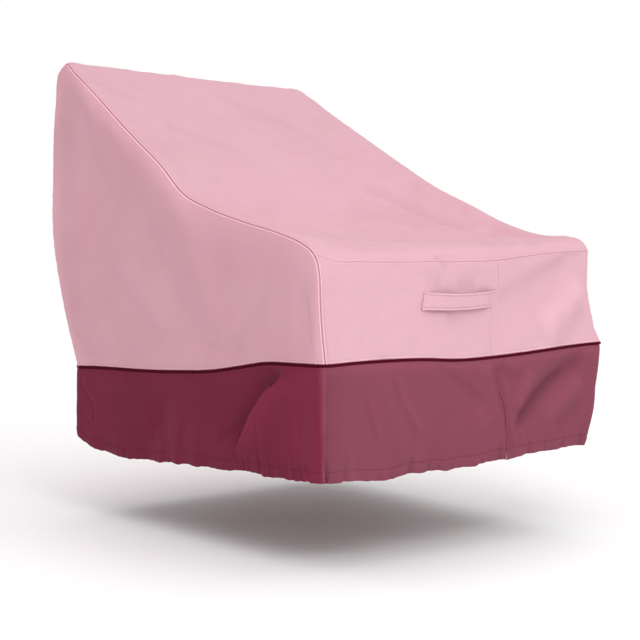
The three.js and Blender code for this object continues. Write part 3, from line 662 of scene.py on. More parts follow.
def face_normals(points):
    """Outward directions of a grid of points"""
    normal = np.cross(np.gradient(points, axis=0), np.gradient(points, axis=1))
    normal /= np.maximum(np.linalg.norm(normal, axis=-1, keepdims=True), 1e-9)
    inside = np.array([0.0, 430.0, 380.0])
    if ((points - inside) * normal).sum() < 0:
        normal = -normal
    return normal


# Mesh making

def quads_of(index):
    """Quads between the neighbours in a grid of point numbers"""
    return np.stack([index[:-1, :-1], index[1:, :-1], index[1:, 1:], index[:-1, 1:]], -1).reshape(-1, 4)


def grid_quads(rows, columns, first=0):
    return quads_of(first + np.arange(rows * columns).reshape(rows, columns))


def edge_quads(rows, columns):
    """Quads that join the outer and the inner grid around their border"""
    index = np.arange(rows * columns).reshape(rows, columns)
    ring = np.concatenate([index[:-1, 0], index[-1, :-1], index[::-1][:-1, -1], index[0, ::-1][:-1]])
    after = np.roll(ring, -1)
    below = rows * columns
    return np.stack([ring, ring + below, after + below, after], -1)


def mesh_object(name, points, quads, parts, uv, materials, sewn=None):
    """A mesh object in the frame from points in millimetres. parts gives each quad's material."""
    mesh = bpy.data.meshes.new(name)
    mesh.vertices.add(len(points))
    mesh.vertices.foreach_set("co", to_frame(points).astype(np.float32).ravel())
    mesh.loops.add(quads.size)
    mesh.loops.foreach_set("vertex_index", quads.astype(np.int32).ravel())
    mesh.polygons.add(len(quads))
    mesh.polygons.foreach_set("loop_start", np.arange(0, quads.size, 4, dtype=np.int32))
    mesh.update(calc_edges=True)
    mesh.validate()
    layer = mesh.uv_layers.new(name="cloth")
    layer.data.foreach_set("uv", (uv[quads.ravel()] * MM).astype(np.float32).ravel())
    # sewn holds each point's painted light, above zero, and painted shade, below zero
    if sewn is not None:
        mesh.attributes.new("sewn", "FLOAT", "POINT").data.foreach_set("value", sewn.astype(np.float32))
    for material in materials:
        mesh.materials.append(material)
    mesh.polygons.foreach_set("material_index", parts.astype(np.int32))
    mesh.polygons.foreach_set("use_smooth", np.ones(len(quads), bool))
    mesh.set_sharp_from_angle(angle=math.radians(50))
    mesh.update()
    return linked(name, mesh)


def sheet_object(name, outer, normal, uv, materials, sewn, thickness=CLOTH):
    """A closed sheet of cloth between a grid of points and a second one a thickness inside it"""
    rows, columns = outer.shape[:2]
    inner = outer - normal * thickness
    points = np.concatenate([outer.reshape(-1, 3), inner.reshape(-1, 3)])
    face = grid_quads(rows, columns)
    lining = grid_quads(rows, columns, rows * columns)[:, ::-1]
    border = edge_quads(rows, columns)
    middle = rows // 2, columns // 2
    across = outer[middle[0] + 1, middle[1]] - outer[middle]
    along = outer[middle[0], middle[1] + 1] - outer[middle]
    quads = np.concatenate([face, lining, border])
    if np.dot(np.cross(across, along), normal[middle]) < 0:
        quads = quads[:, ::-1]
    parts = np.concatenate([np.zeros(len(face)), np.ones(len(lining)), np.zeros(len(border))])
    uv = np.concatenate([uv.reshape(-1, 2), uv.reshape(-1, 2)])
    sewn = np.concatenate([sewn.ravel(), np.zeros(sewn.size)])
    return mesh_object(name, points, quads, parts, uv, materials, sewn)


# Colours and materials

def linear(hex_colour):
    """A linear RGBA colour from an sRGB hex value"""
    channels = [int(hex_colour[i:i + 2], 16) / 255 for i in (1, 3, 5)]
    return [c / 12.92 if c <= 0.04045 else ((c + 0.055) / 1.055) ** 2.4 for c in channels] + [1.0]


def add_node(tree, kind, inputs=None, **settings):
    """Adds a node. inputs gives each socket a value, or another node's output to link to it."""
    node = tree.nodes.new(kind)
    for key, value in settings.items():
        setattr(node, key, value)
    for key, value in (inputs or {}).items():
        if isinstance(value, bpy.types.NodeSocket):
            tree.links.new(value, node.inputs[key])
        else:
            node.inputs[key].default_value = value
    return node


def new_material(name, roughness, gloss=0.5):
    """A material, its node tree and its shader"""
    material = bpy.data.materials.new(name)
    material.use_nodes = True
    tree = material.node_tree
    shader = tree.nodes["Principled BSDF"]
    shader.inputs["Roughness"].default_value = roughness
    shader.inputs["Specular IOR Level"].default_value = gloss
    return material, tree, shader


def noise(tree, scale, detail, roughness=0.5):
    place = add_node(tree, "ShaderNodeTexCoord")
    return add_node(tree, "ShaderNodeTexNoise", {
        "Vector": place.outputs["Object"], "Scale": scale, "Detail": detail, "Roughness": roughness,
    }).outputs["Fac"]


def mixed(tree, share, first, second):
    """A colour between two"""
    return add_node(tree, "ShaderNodeMix", {
        "Factor": share, "A": first, "B": second,
    }, data_type="RGBA").outputs["Result"]


WEAVE_SPACING = 2.2  # millimetres between ridges
WAVE_UNIT = 20.0  # a wave texture of scale 1 turns this many radians in a unit
# how strongly the painted light and shade held in the sewn attribute lighten or darken the cloth
PAINTED_SHADE_CONTRAST = 0.4


def cloth_material(name, light, dark, painted_front_sheen, roughness, weave_height, gloss=0.5):
    """Coated polyester: matt, close to even in colour, painted paler and greyer on faces towards the
    front as a painted sheen of the lights on them, and a basket weave that shows only from close
    by. Its ridges are drawn wider apart than real threads, which would not show at all."""
    material, tree, shader = new_material(name, roughness, gloss)
    weave = add_node(tree, "ShaderNodeUVMap", uv_map="cloth")
    warp, weft = (
        add_node(tree, "ShaderNodeTexWave", {
            "Vector": weave.outputs["UV"], "Scale": 2 * math.pi / (WAVE_UNIT * WEAVE_SPACING * MM),
        }, bands_direction=direction).outputs["Fac"]
        for direction in "XY"
    )
    basket = add_node(tree, "ShaderNodeMath", {0: warp, 1: weft}, operation="MAXIMUM")
    bumps = (
        (basket.outputs["Value"], 0.5, weave_height),
        (noise(tree, 420.0, 3.0, 0.6), 0.35, 0.12),
        (noise(tree, 38.0, 5.0, 0.55), 0.5, 0.9),
    )
    below = {}
    for height, strength, distance in bumps:
        bump = add_node(tree, "ShaderNodeBump", {
            "Height": height, "Strength": strength, "Distance": distance * MM, **below,
        })
        below = {"Normal": bump.outputs["Normal"]}
    tree.links.new(bump.outputs["Normal"], shader.inputs["Normal"])
    patches = add_node(tree, "ShaderNodeMapRange", {
        "Value": noise(tree, 5.0, 4.0), "From Min": 0.35, "From Max": 0.65,
    })
    tone = mixed(tree, patches.outputs["Result"], linear(dark), linear(light))
    # painted sheen: faces towards the front are painted paler and greyer, as the lights' sheen on them
    face = add_node(tree, "ShaderNodeNewGeometry")
    towards_front = add_node(tree, "ShaderNodeVectorMath", {
        0: face.outputs["Normal"], 1: (0.0, -1.0, 0.0),
    }, operation="DOT_PRODUCT")
    frontness = add_node(tree, "ShaderNodeMapRange", {
        "Value": towards_front.outputs["Value"], "From Min": 0.1, "From Max": 0.9,
    }, interpolation_type="SMOOTHSTEP")
    tone = mixed(tree, frontness.outputs["Result"], tone, linear(painted_front_sheen))
    # the painted light and shade of seams, folds and gathers
    sewn = add_node(tree, "ShaderNodeAttribute", attribute_name="sewn")
    shade = add_node(tree, "ShaderNodeMath", {
        0: sewn.outputs["Fac"], 1: PAINTED_SHADE_CONTRAST, 2: 1.0,
    }, operation="MULTIPLY_ADD")
    colour = add_node(tree, "ShaderNodeVectorMath", {
        0: tone, "Scale": shade.outputs["Value"],
    }, operation="SCALE")
    tree.links.new(colour.outputs["Vector"], shader.inputs["Base Color"])
    return material


PALE_PLY = 1.15


def thread_material(name, colour):
    """Polyester sewing thread, a little glossier than the cloth"""
    material, tree, shader = new_material(name, 0.45)
    base = linear(colour)
    pale = [channel * PALE_PLY for channel in base[:3]] + [1.0]
    tone = mixed(tree, noise(tree, 1500.0, 1.0), base, pale)
    tree.links.new(tone, shader.inputs["Base Color"])
    return material


PINK = cloth_material("coated_polyester_pale_pink", "#d3a0ac", "#cd99a5", "#d0a2ae", 0.5, 0.05, 0.4)
PINK_BACK = cloth_material("coating_on_back_pale_pink", "#d8b3bb", "#d0abb3", "#d8b3bb", 0.42, 0.02)
MAROON = cloth_material("coated_polyester_maroon", "#77283f", "#71243b", "#824454", 0.45, 0.05, 0.04)
MAROON_BACK = cloth_material("coating_on_back_maroon", "#6b3040", "#63293a", "#6b3040", 0.4, 0.02)
PIPING_CLOTH = cloth_material("woven_piping_dark_maroon", "#4e0016", "#440011", "#4e0016", 0.7, 0.08, 0.05)
PINK_THREAD = thread_material("polyester_thread_pink", "#e2aebb")
MAROON_THREAD = thread_material("polyester_thread_maroon", "#84384c")


# Panels

paths = {"pink": [], "maroon": []}  # stitch lines: lists of points and outward directions


def keep_path(kind, points, normals):
    paths[kind].append((points, normals))


def relief_of_band(along, p, seams):
    """Height of the sewing and of the cloth's own unevenness over a stretch of the band, and its
    painted light and shade. seams holds rows of distance, place along the seam, seed and strength."""
    flat, arc = band_spread(along)
    to_side = flat + arc - np.abs(p)
    height = seam_relief(to_side) + pucker(to_side, along + np.where(p < 0, 0, 500), 3)
    tint = seam_tint(to_side)
    for distance, run, seed, strength in seams:
        height = height + strength * (seam_relief(distance) + pucker(distance, run, seed))
        tint = tint + strength ** 2 * seam_tint(distance)
    free = smoothstep(to_side, 2, 30)
    bends = band_line_height(p, along) - fold_depth(BAND_CREASES, p, along)
    tint = tint + FOLD_TINT * bends * free
    height = height + bends * free
    mottle = drape_noise(p, along, 11, 80.0, 1.5) + drape_noise(p, along, 12, 40.0, 0.45)
    return height + mottle * free, tint


def band_panel(name, along, p, seams):
    """A panel of the band from grids of the distance along it and the distance from its middle"""
    base = band(band_across(p, along), along)
    normal = face_normals(base)
    height, tint = relief_of_band(along, p, seams)
    outer = base + normal * height[..., None]
    item = sheet_object(name, outer, normal, np.stack([p, along], -1), [PINK, PINK_BACK], tint)
    for place in (STITCH_INDEX, -1 - STITCH_INDEX):
        keep_path("pink", outer[place], normal[place])
        keep_path("pink", outer[:, place], normal[:, place])
    return item


def side_limits(along):
    flat, arc = band_spread(along)
    return flat + arc


COLUMN_SPAN = 1000.0
TOP_GRID = (110, 190)  # columns and rows between those beside the seams
FRONT_GRID = {True: (74, 44), False: (50, 44)}  # of the left and of the right panel
BACK_GRID = (90, 110)
SIDE_GRID = (240, 60)
FRONT_TOP_LEVEL = FRONT_TOP_SEAM[3][1]
TOP_SEAM_STRENGTH = 0.55
LEVEL_SEAM_STRENGTH = 0.8
UPRIGHT_SEAM_STRENGTH = 0.7


def reach_across(shares, along):
    """Distances from the band's middle for shares that hold their distance from its side seams"""
    limit = side_limits(along)
    inner = shares / (COLUMN_SPAN - NEAR_SEAM[-1]) * (limit - NEAR_SEAM[-1])
    p = np.where(shares > COLUMN_SPAN - NEAR_SEAM[-1], limit - (COLUMN_SPAN - shares), inner)
    return np.where(shares < NEAR_SEAM[-1] - COLUMN_SPAN, (COLUMN_SPAN + shares) - limit, p)


def top_panel():
    shares = spaced(-COLUMN_SPAN, COLUMN_SPAN, TOP_GRID[0])
    seam_at = front_top_seam(reach_across(shares, FRONT_TOP_LEVEL))
    along = spaced(seam_at, BACK_TOP_SEAM, TOP_GRID[1])
    p = reach_across(shares[:, None], along)
    seams = [
        (along - seam_at[:, None], p, 5, TOP_SEAM_STRENGTH),
        (BACK_TOP_SEAM - along, p, 6, LEVEL_SEAM_STRENGTH),
    ]
    return band_panel("top_panel_cloth", along, p, seams)


def front_panel(name, left_side):
    """A front panel, between a side seam and the upright seam"""
    limit = side_limits(FRONT_TOP_LEVEL)
    upright = front_seam(FRONT_TOP_LEVEL)
    ends = (-limit, upright) if left_side else (upright, limit)
    count, rows = FRONT_GRID[left_side]
    seam_at = front_top_seam(spaced(*ends, count))
    along = spaced(np.zeros_like(seam_at), seam_at, rows)
    # the columns' places follow both edges row by row
    row_limit = side_limits(along)
    upright = front_seam(along)
    columns = np.arange(len(seam_at))
    start = -row_limit if left_side else upright
    end = upright if left_side else row_limit
    near = len(NEAR_SEAM)
    from_start = np.concatenate([NEAR_SEAM, np.full(len(columns) - near, NEAR_SEAM[-1])])[:, None]
    from_end = np.concatenate([np.full(len(columns) - near, NEAR_SEAM[-1]), NEAR_SEAM[::-1]])[:, None]
    share = np.clip((columns - near + 1) / (len(columns) - 2 * near + 1), 0, 1)[:, None]
    p = lerp(start + from_start, end - from_end, share)
    seams = [
        (along, p, 7, LEVEL_SEAM_STRENGTH),
        (seam_at[:, None] - along, p, 5, TOP_SEAM_STRENGTH),
        (np.abs(p - upright), along, 8, UPRIGHT_SEAM_STRENGTH),
    ]
    return band_panel(name, along, p, seams)


def back_panel():
    shares = spaced(-COLUMN_SPAN, COLUMN_SPAN, BACK_GRID[0])
    along = spaced(np.full(len(shares), BACK_TOP_SEAM), BAND_LENGTH, BACK_GRID[1])
    p = reach_across(shares[:, None], along)
    seams = [
        (along - BACK_TOP_SEAM, p, 6, LEVEL_SEAM_STRENGTH),
        (BAND_LENGTH - along, p, 9, LEVEL_SEAM_STRENGTH),
    ]
    return band_panel("back_panel_cloth", along, p, seams)


SIDE_SEAM_RIDGE = 1.35
# painted light beside the side panels' upper seam: on the rest and on the slope, and how wide
GLOW = (0.25, 0.5)
GLOW_WIDTH = 55.0
SWELL = 7.0
SWELL_RISE = 28.0
SWELL_FALL = (120.0, 420.0)
SLOPE_START = (560.0, 700.0)
SLOPE_END = (1120.0, 1230.0)


def side_panel_cloth(side):
    name = "left" if side < 0 else "right"
    along = spaced(0.0, BAND_LENGTH, SIDE_GRID[0]) - np.array([SEAM_GAP / 2])
    along = np.clip(along, 0.0, BAND_LENGTH)
    edge = edge_round(along)
    arc = EIGHTH_TURN * edge
    start = side_panel(side, along, np.full_like(along, ROUND))
    foot = side_panel(side, along, np.ones_like(along))
    length = np.linalg.norm(foot - start, axis=-1)
    distance = spaced(np.zeros_like(along), arc + length, SIDE_GRID[1])
    over = distance - arc[:, None]
    down = np.where(over < 0, ROUND * distance / arc[:, None], ROUND + (1 - ROUND) * over / length[:, None])
    down[:, -1] = 1.0
    base = side_panel(side, along[:, None], down)
    normal = face_normals(base)
    y, z = base[..., 1], base[..., 2]
    to_piping = z - piping_z(around(name, y)) - PIPING_ROOM
    place = along[:, None] + (0 if side < 0 else 500)
    height = seam_relief(distance, SIDE_SEAM_RIDGE) + pucker(distance, place, 3)
    height = height + seam_relief(to_piping + SEAM_GAP / 2) + pucker(to_piping, y, 21)
    free = smoothstep(distance, 2, 30) * smoothstep(to_piping, 0, 25)
    creases = fold_depth(SIDE_CREASES if side < 0 else SIDE_CREASES[2:], y, z)
    height = height - creases * free + drape_noise(y, z, 31 + side, 170.0, 0.9) * free
    height = height + drape_noise(y, z, 41 + side, 50.0, 0.2) * free
    # along the slope the cloth swells out below the seam before it hangs straight
    sloping = smoothstep(along, *SLOPE_START)[:, None] * (1 - smoothstep(along, *SLOPE_END)[:, None])
    swell = (1 - np.exp(-distance / SWELL_RISE)) * (1 - smoothstep(distance, *SWELL_FALL))
    height = height + SWELL * sloping * swell
    outer = base + normal * height[..., None]
    # painted light and shade of the seams and creases, and painted light beside the upper seam
    tint = seam_tint(distance, SIDE_SEAM_RIDGE) - FOLD_TINT * creases * free
    tint = tint + 0.4 * seam_tint(to_piping + SEAM_GAP / 2)
    tint = tint + lerp(*GLOW, sloping) * bell(distance, GLOW_WIDTH)
    uv = np.stack([y, z], -1)
    item = sheet_object(f"side_panel_{name}_cloth", outer, normal, uv, [PINK, PINK_BACK], tint)
    keep_path("pink", outer[:, STITCH_INDEX], normal[:, STITCH_INDEX])
    keep_path("pink", outer[:, -1 - STITCH_INDEX], normal[:, -1 - STITCH_INDEX])
    return item


# Skirt, piping and handle

SKIRT_SEAM = around("front", 64)
SKIRT_COLUMNS = 880
SKIRT_ROWS = 26
# how far the skirt's seam has drifted to the right by the distance below the piping
SEAM_DRIFT = [(0, 0), (36, 8), (65, 26), (98, 44), (134, 54), (226, 62)]
SEAM_DRIFT_REACH = (20.0, 220.0)


def scattered_gathers():
    """Smaller gathers all round the hem, between the main ones"""
    random = np.random.RandomState(5)
    gathers = []
    place = 12.0
    while place < PERIMETER - 10:
        depth = random.uniform(0.5, 1.5) * random.choice([1, 1, -1])
        gathers.append((place, random.uniform(3.5, 8.0), depth, random.uniform(14, 34)))
        place += random.uniform(16, 46)
    return gathers


def gather_relief(along, above_hem):
    rows = [(around(side, at), *row) for side, rows in HEM_GATHERS.items() for at, *row in rows]
    height = np.zeros(np.broadcast(along, above_hem).shape)
    for place, width, depth, reach in rows + scattered_gathers():
        away = distance_around(along, place)
        height = height - depth * bell(away, width) * bell(above_hem, reach)
    return height


def casing_relief(above_hem):
    """The hem's casing: swollen by its elastic, with the stitch line's groove above it"""
    groove = 0.5 * bell(above_hem - CASING, 1.1)
    swell = 1.1 * smoothstep(CASING - above_hem, 1.0, 6.0) * smoothstep(above_hem, -4.0, 5.0)
    lip = 0.35 * bell(above_hem - CASING - 2.6, 1.6)
    return swell + lip - groove


def skirt_light(along, below):
    """Painted light and shade at the skirt's front left corner and just under the piping at the
    front"""
    g = np.mod(along, PERIMETER)
    past = PERIMETER - g  # distance from the front left corner along the left side
    left = 0.1 * (1 - smoothstep(past, 34, 62)) + 0.35 * (1 - smoothstep(past, 62, 170))
    front = (g < WIDTH) * (0.25 * bell(below - 9, 9) - 0.3 * bell(g, 50))
    return np.where(past < 2 * DEPTH / 3, left, front)


def skirt_cloth():
    along = np.linspace(SKIRT_SEAM, SKIRT_SEAM + PERIMETER, SKIRT_COLUMNS)
    along = np.concatenate([
        SKIRT_SEAM + NEAR_SEAM[:-1], along[5:-5], (SKIRT_SEAM + PERIMETER - NEAR_SEAM[:-1])[::-1],
    ])
    drop = (piping_z(np.mod(along, PERIMETER)) - PIPING_ROOM) - hem_z(np.mod(along, PERIMETER))
    top = np.array([0.0, 0.6, 1.2, 2.0, 2.8, 3.6, 4.6, 5.6, 7.0, 9.0, 12.0])
    low = np.array([
        30.0, 27.5, 26.0, 25.0, 24.0, CASING, 22.0, 21.0, 19.5, 17.5, 14.0, 10.0, 6.0, 3.0, 1.0, 0.0,
    ])
    field = np.linspace(0, 1, SKIRT_ROWS + 2)[1:-1]
    below = np.concatenate([
        np.broadcast_to(top, (len(along), len(top))),
        top[-1] + (drop[:, None] - low[0] - top[-1]) * field,
        drop[:, None] - low,
    ], 1)
    v = below / drop[:, None]
    to_seam = np.minimum(along - SKIRT_SEAM, SKIRT_SEAM + PERIMETER - along)[:, None]
    drift = curve(*zip(*SEAM_DRIFT))(below) * (1 - smoothstep(to_seam, *SEAM_DRIFT_REACH))
    g = np.mod(along[:, None] + drift, PERIMETER)
    base = skirt(along[:, None] + drift, v)
    normal = face_normals(base)
    above_hem = drop[:, None] - below
    height = seam_relief(below + SEAM_GAP / 2) * 0.9 + pucker(below, g, 51, 14.0, 0.25)
    gathers = gather_relief(g, above_hem)
    height = height + 0.5 * seam_relief(to_seam) + casing_relief(above_hem) + gathers
    # the cloth comes out from under the piping before it falls
    height = height + 2.6 * (1 - np.exp(-below / 7.0)) * (1 - smoothstep(below, 10, 70))
    free = smoothstep(below, 0, 25) * smoothstep(above_hem, CASING, CASING + 20)
    creases = skirt_fold_depth(SKIRT_CREASES, g, v)
    height = height - creases
    bends = skirt_line_height(g, below) * smoothstep(below, 0, 12)
    height = height + bends
    height = height + (drape_noise(g, below, 61, 90.0, 0.9) + drape_noise(g, below, 62, 34.0, 0.22)) * free
    outer = base + normal * height[..., None]
    ripple = 0.6 * wander(g, 71, (23.0, 37.0, 61.0)) * np.exp(-above_hem / 12.0)
    outer[..., 2] += ripple
    # painted light and shade of the seams, the gathers and the folds, painted shade in the casing's stitch
    # groove, and the skirt's painted light and shade at the corner and under the piping
    tint = 0.4 * seam_tint(below + SEAM_GAP / 2)
    tint = tint + 0.7 * seam_tint(to_seam) * smoothstep(above_hem, 40, 140)
    tint = tint + GATHER_TINT * gathers - 0.5 * bell(above_hem - CASING, 1.2)
    tint = tint + FOLD_TINT * (bends - creases) + skirt_light(along[:, None], below)
    uv = np.stack([along[:, None] + 0 * v, below], -1)
    item = sheet_object("skirt_cloth", outer, normal, uv, [MAROON, MAROON_BACK], tint)
    casing_row = len(top) + len(field) + int(np.argmin(np.abs(low - CASING)))
    keep_path("maroon", outer[:, casing_row], normal[:, casing_row])
    return item


def piping():
    """A closed ring of cloth round a cord, a little uneven and twisted"""
    sides = 14
    places = np.arange(0, PERIMETER, 5.0)
    foot, out = plan(places)
    height = piping_z(places)
    angles = 2 * math.pi * (np.arange(sides) + 0.5) / sides
    twist = 0.10 * np.sin(2 * math.pi * places[:, None] / 9.0 + angles * 2)
    radius = PIPING_RADIUS - 0.1 + (twist + 0.12 * wander(places, 81)[:, None])
    reach = PIPING_PROUD + radius * np.cos(angles)
    x = foot[:, :1] + out[:, :1] * reach
    y = foot[:, 1:] + out[:, 1:] * reach
    z = height[:, None] + radius * np.sin(angles)
    points = drawn_out(x, y, z)
    index = np.arange(len(places) * sides).reshape(-1, sides)
    quads = quads_of(np.pad(index, ((0, 1), (0, 1)), mode="wrap"))
    uv = np.stack([places[:, None] + 0 * angles, 0 * places[:, None] + angles * PIPING_RADIUS], -1)
    return mesh_object(
        "piping_cord_cover", points.reshape(-1, 3), quads, np.zeros(len(quads)), uv.reshape(-1, 2),
        [PIPING_CLOTH],
    )


def handle():
    """A strap of folded cloth, topstitched along both edges and sewn down at its ends"""
    u = np.concatenate([[0.0, 0.004, 0.01, 0.018], np.linspace(0.028, 0.972, 96), [0.982, 0.99, 0.996, 1.0]])
    v = np.array([
        0.0, 0.015, 0.04, 0.075, 0.11, 0.135, 0.16, 0.2, 0.27, 0.36, 0.45,
        0.55, 0.64, 0.73, 0.8, 0.84, 0.865, 0.89, 0.925, 0.96, 0.985, 1.0,
    ])
    uu = u[:, None]
    sag = 4 * uu * (1 - uu)
    low_x = lerp(HANDLE_LOWER[0], HANDLE_LOWER[2], uu)
    low_a = lerp(HANDLE_LOWER[1], HANDLE_LOWER[3], uu) - HANDLE_LOWER[4] * sag
    high_x = lerp(HANDLE_UPPER[0], HANDLE_UPPER[2], uu)
    high_a = lerp(HANDLE_UPPER[1], HANDLE_UPPER[3], uu) - HANDLE_UPPER[4] * sag
    x = lerp(low_x, high_x, v)
    along = lerp(low_a, high_a, v)
    base = band(band_across(x, along), along)
    normal = face_normals(base)
    risen = smoothstep(uu, 0, HANDLE_RISE) * smoothstep(1 - uu, 0, HANDLE_RISE)
    off = HANDLE_FOOT + risen * (HANDLE_STAND + HANDLE_LIFT * v)
    edge = np.minimum(v, 1 - v) * HANDLE_WIDTH
    end = np.minimum(uu, 1 - uu) * HANDLE_LENGTH
    relief = -0.9 * bell(edge, 0.7) - 0.8 * bell(edge - 4.7, 0.9)
    relief = relief + 0.7 * bell(edge - 2.2, 1.3) - 0.5 * bell(end - 4.0, 0.9)
    relief = relief + 0.5 * smoothstep(edge, 5, 12)
    relief = relief + drape_noise(x, along, 91, 36.0, 0.5) * smoothstep(edge, 4, 10)
    # painted light on the strap's rolled edges and painted shade in its stitch grooves and at its edges,
    # faded out at the left end of its upper half
    seen = np.where(v > 0.5, smoothstep(uu, 0.02, 0.16), 1.0)
    tint = 0.6 * bell(edge - 2.2, 1.3) - 0.6 * bell(edge - 4.9, 1.0)
    tint = (tint - 0.8 * bell(edge, 0.9)) * seen
    outer = base + normal * (off + HANDLE_THICKNESS + relief)[..., None]
    uv = np.stack([x, along], -1)
    item = sheet_object("handle_strap", outer, normal, uv, [PINK, PINK], tint, HANDLE_THICKNESS)
    for column in (5, len(v) - 6):
        keep_path("pink", outer[:, column], normal[:, column])
    for row in (5, len(u) - 6):
        keep_path("pink", outer[row], normal[row])
    return item


# Stitching

STITCH_PITCH = 4.4
STITCH_LENGTH = 3.3
THREAD = 0.5


def path_object(name, lines):
    """Open lines of points just above the cloth's face"""
    points, edges = [], []
    for line, normals in lines:
        first = len(points)
        points.extend(line + normals * (THREAD * 0.15))
        edges.extend((first + i, first + i + 1) for i in range(len(line) - 1))
    mesh = bpy.data.meshes.new(name)
    mesh.from_pydata(to_frame(np.array(points)).tolist(), edges, [])
    return linked(name, mesh)


def stitch_tree():
    """Places a short thread, lying along the path, at every pitch"""
    tree = bpy.data.node_groups.new("stitching", "GeometryNodeTree")
    face = tree.interface
    face.new_socket("Geometry", in_out="INPUT", socket_type="NodeSocketGeometry")
    for name in ("Pitch", "Stitch length", "Thread"):
        face.new_socket(name, in_out="INPUT", socket_type="NodeSocketFloat")
    face.new_socket("Material", in_out="INPUT", socket_type="NodeSocketMaterial")
    face.new_socket("Geometry", in_out="OUTPUT", socket_type="NodeSocketGeometry")
    given = add_node(tree, "NodeGroupInput")
    line = add_node(tree, "GeometryNodeMeshToCurve", {"Mesh": given.outputs["Geometry"]})
    even = add_node(tree, "GeometryNodeResampleCurve", {
        "Curve": line.outputs["Curve"], "Length": given.outputs["Pitch"],
    }, mode="LENGTH")
    tangent = add_node(tree, "GeometryNodeInputTangent")
    turn = add_node(tree, "FunctionNodeAlignRotationToVector", {
        "Vector": tangent.outputs["Tangent"],
    }, axis="Z")
    halves = [
        add_node(tree, "ShaderNodeMath", {
            0: given.outputs[name], 1: 0.5,
        }, operation="MULTIPLY").outputs["Value"]
        for name in ("Thread", "Thread", "Stitch length")
    ]
    size = add_node(tree, "ShaderNodeCombineXYZ", dict(zip("XYZ", halves)))
    stitch = add_node(tree, "GeometryNodeMeshUVSphere", {"Segments": 6, "Rings": 4, "Radius": 1.0})
    placed = add_node(tree, "GeometryNodeInstanceOnPoints", {
        "Points": even.outputs["Curve"], "Instance": stitch.outputs["Mesh"],
        "Rotation": turn.outputs["Rotation"], "Scale": size.outputs["Vector"],
    })
    real = add_node(tree, "GeometryNodeRealizeInstances", {"Geometry": placed.outputs["Instances"]})
    smooth = add_node(tree, "GeometryNodeSetShadeSmooth", {"Geometry": real.outputs["Geometry"]})
    finish = add_node(tree, "GeometryNodeSetMaterial", {
        "Geometry": smooth.outputs["Geometry"], "Material": given.outputs["Material"],
    })
    add_node(tree, "NodeGroupOutput", {"Geometry": finish.outputs["Geometry"]})
    return tree


def stitching(name, lines, material, tree):
    item = path_object(name, lines)
    modifier = item.modifiers.new("stitching", "NODES")
    modifier.node_group = tree
    values = {
        "Pitch": STITCH_PITCH * MM, "Stitch length": STITCH_LENGTH * MM, "Thread": THREAD * MM,
        "Material": material,
    }
    for socket in tree.interface.items_tree:
        if socket.in_out == "INPUT" and socket.name in values:
            modifier[socket.identifier] = values[socket.name]
    bpy.context.view_layer.update()
    made = bpy.data.meshes.new_from_object(item.evaluated_get(bpy.context.evaluated_depsgraph_get()))
    item.modifiers.clear()
    item.data = made
    return item


# Putting the cover together

SHEETS = {
    # node: (maker, what it is told, slot, flat width, flat length, flat area)
    "top_panel": (top_panel, (), "panel_cloth", 0.80, 1.10, 0.80),
    "front_panel_left": (front_panel, ("front_panel_left_cloth", True), "panel_cloth", 0.49, 0.23, 0.094),
    "front_panel_right": (front_panel, ("front_panel_right_cloth", False), "panel_cloth", 0.33, 0.21, 0.061),
    "back_panel": (back_panel, (), "panel_cloth", 0.80, 0.71, 0.50),
    "side_panel_left": (side_panel_cloth, (-1,), "panel_cloth", 1.04, 0.70, 0.405),
    "side_panel_right": (side_panel_cloth, (1,), "panel_cloth", 1.04, 0.65, 0.385),
    "handle": (handle, (), "panel_cloth", 0.205, 0.037, 0.0074),
    "skirt": (skirt_cloth, (), "skirt_cloth", 3.37, 0.25, 0.69),
}

for node, (maker, told, slot, flat_width, flat_length, area) in SHEETS.items():
    piece = maker(*told)
    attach(piece, "root")
    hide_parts(node)

cord = piping()
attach(cord, "root")
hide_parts("piping")

tree = stitch_tree()
for name, kind, material, slot in (
    ("panel_stitching", "pink", PINK_THREAD, "panel_cloth"),
    ("hem_stitching", "maroon", MAROON_THREAD, "skirt_cloth"),
):
    threads = stitching(name, paths[kind], material, tree)
    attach(threads, "root")


# Floor and light

FLOOR_REACH = 30.0  # metres


def add_floor():
    corners = [(x * FLOOR_REACH, y * FLOOR_REACH, GROUND_Z) for x, y in ((-1, -1), (1, -1), (1, 1), (-1, 1))]
    mesh = bpy.data.meshes.new("floor")
    mesh.from_pydata(corners, [], [(0, 1, 2, 3)])
    material, _, shader = new_material("pale_studio_floor", 0.6, 0.4)
    shader.inputs["Base Color"].default_value = linear("#fafafa")
    mesh.materials.append(material)
    linked("floor", mesh)


def add_area_light(name, place, aim, size, power):
    data = bpy.data.lights.new(name, "AREA")
    data.shape = "DISK"
    data.size = size
    data.energy = power
    light = linked(name, data)
    light.location = place
    light.rotation_euler = (Vector(aim) - Vector(place)).to_track_quat("-Z", "Y").to_euler()


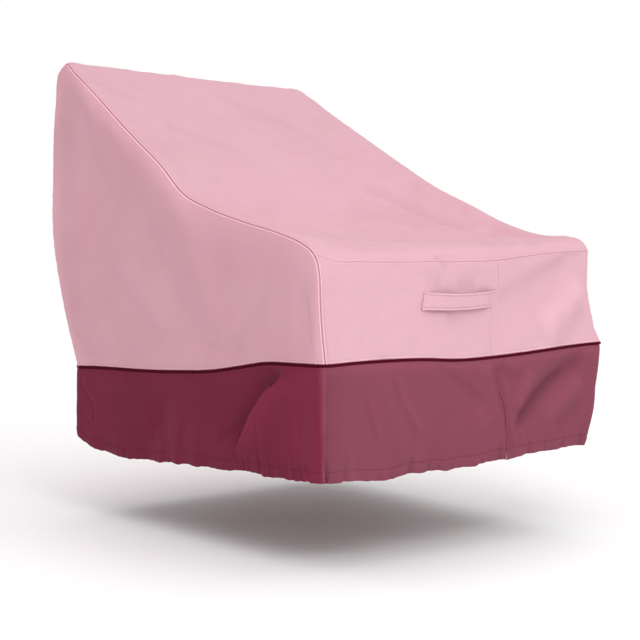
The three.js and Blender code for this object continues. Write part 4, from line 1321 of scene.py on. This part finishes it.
def add_sun(name, heading, rise, softness, strength):
    """A soft sun: heading in degrees from straight ahead of the front, towards +X, and rise above level"""
    data = bpy.data.lights.new(name, "SUN")
    data.angle = math.radians(softness)
    data.energy = strength
    light = linked(name, data)
    turn, climb = math.radians(heading), math.radians(rise)
    towards = Vector((math.sin(turn) * math.cos(climb), -math.cos(turn) * math.cos(climb), math.sin(climb)))
    light.rotation_euler = towards.to_track_quat("Z", "Y").to_euler()


def add_world(zenith, horizon, backdrop, flag):
    """White studio fill, dimmer overhead, with a bright backdrop on the far side and a dim rosy left rear"""
    world = bpy.data.worlds.new("studio")
    world.use_nodes = True
    tree = world.node_tree
    place = add_node(tree, "ShaderNodeTexCoord")
    split = add_node(tree, "ShaderNodeSeparateXYZ", {"Vector": place.outputs["Generated"]})
    strength = add_node(tree, "ShaderNodeMapRange", {
        "Value": split.outputs["Z"], "From Min": 0.0, "From Max": 1.0, "To Min": horizon, "To Max": zenith,
    }).outputs["Result"]
    away = (-math.sin(CAMERA_YAW), math.cos(CAMERA_YAW), 0.0)
    rear_left = (math.sin(CAMERA_YAW), math.cos(CAMERA_YAW), 0.0)
    colour = (1.0, 1.0, 1.0, 1.0)
    for heading, near, full, level, hue in (
        (rear_left, 0.2, 0.85, flag, "#fff5f8"), (away, 0.7, 0.95, backdrop, "#ffffff"),
    ):
        facing = add_node(tree, "ShaderNodeVectorMath", {
            0: place.outputs["Generated"], 1: heading,
        }, operation="DOT_PRODUCT")
        share = add_node(tree, "ShaderNodeMapRange", {
            "Value": facing.outputs["Value"], "From Min": near, "From Max": full,
        }, interpolation_type="SMOOTHSTEP")
        strength = add_node(tree, "ShaderNodeMix", {
            "Factor": share.outputs["Result"], "A": strength, "B": level,
        }).outputs["Result"]
        colour = mixed(tree, share.outputs["Result"], colour, linear(hue))
    tree.links.new(strength, tree.nodes["Background"].inputs["Strength"])
    tree.links.new(colour, tree.nodes["Background"].inputs["Color"])
    bpy.context.scene.world = world


add_floor()
add_world(0.45, 0.75, 1.0, 0.55)
add_area_light("key", (-0.9, -3.1, 1.2), (-0.1, -0.9, -0.45), 1.2, 21.0)
add_area_light("gloss", (1.2, -4.3, 0.6), (0.0, -1.0, -0.6), 1.6, 14.0)
add_sun("overhead", 0.0, 84.0, 90.0, 1.6)
bpy.context.scene.view_settings.view_transform = "Standard"
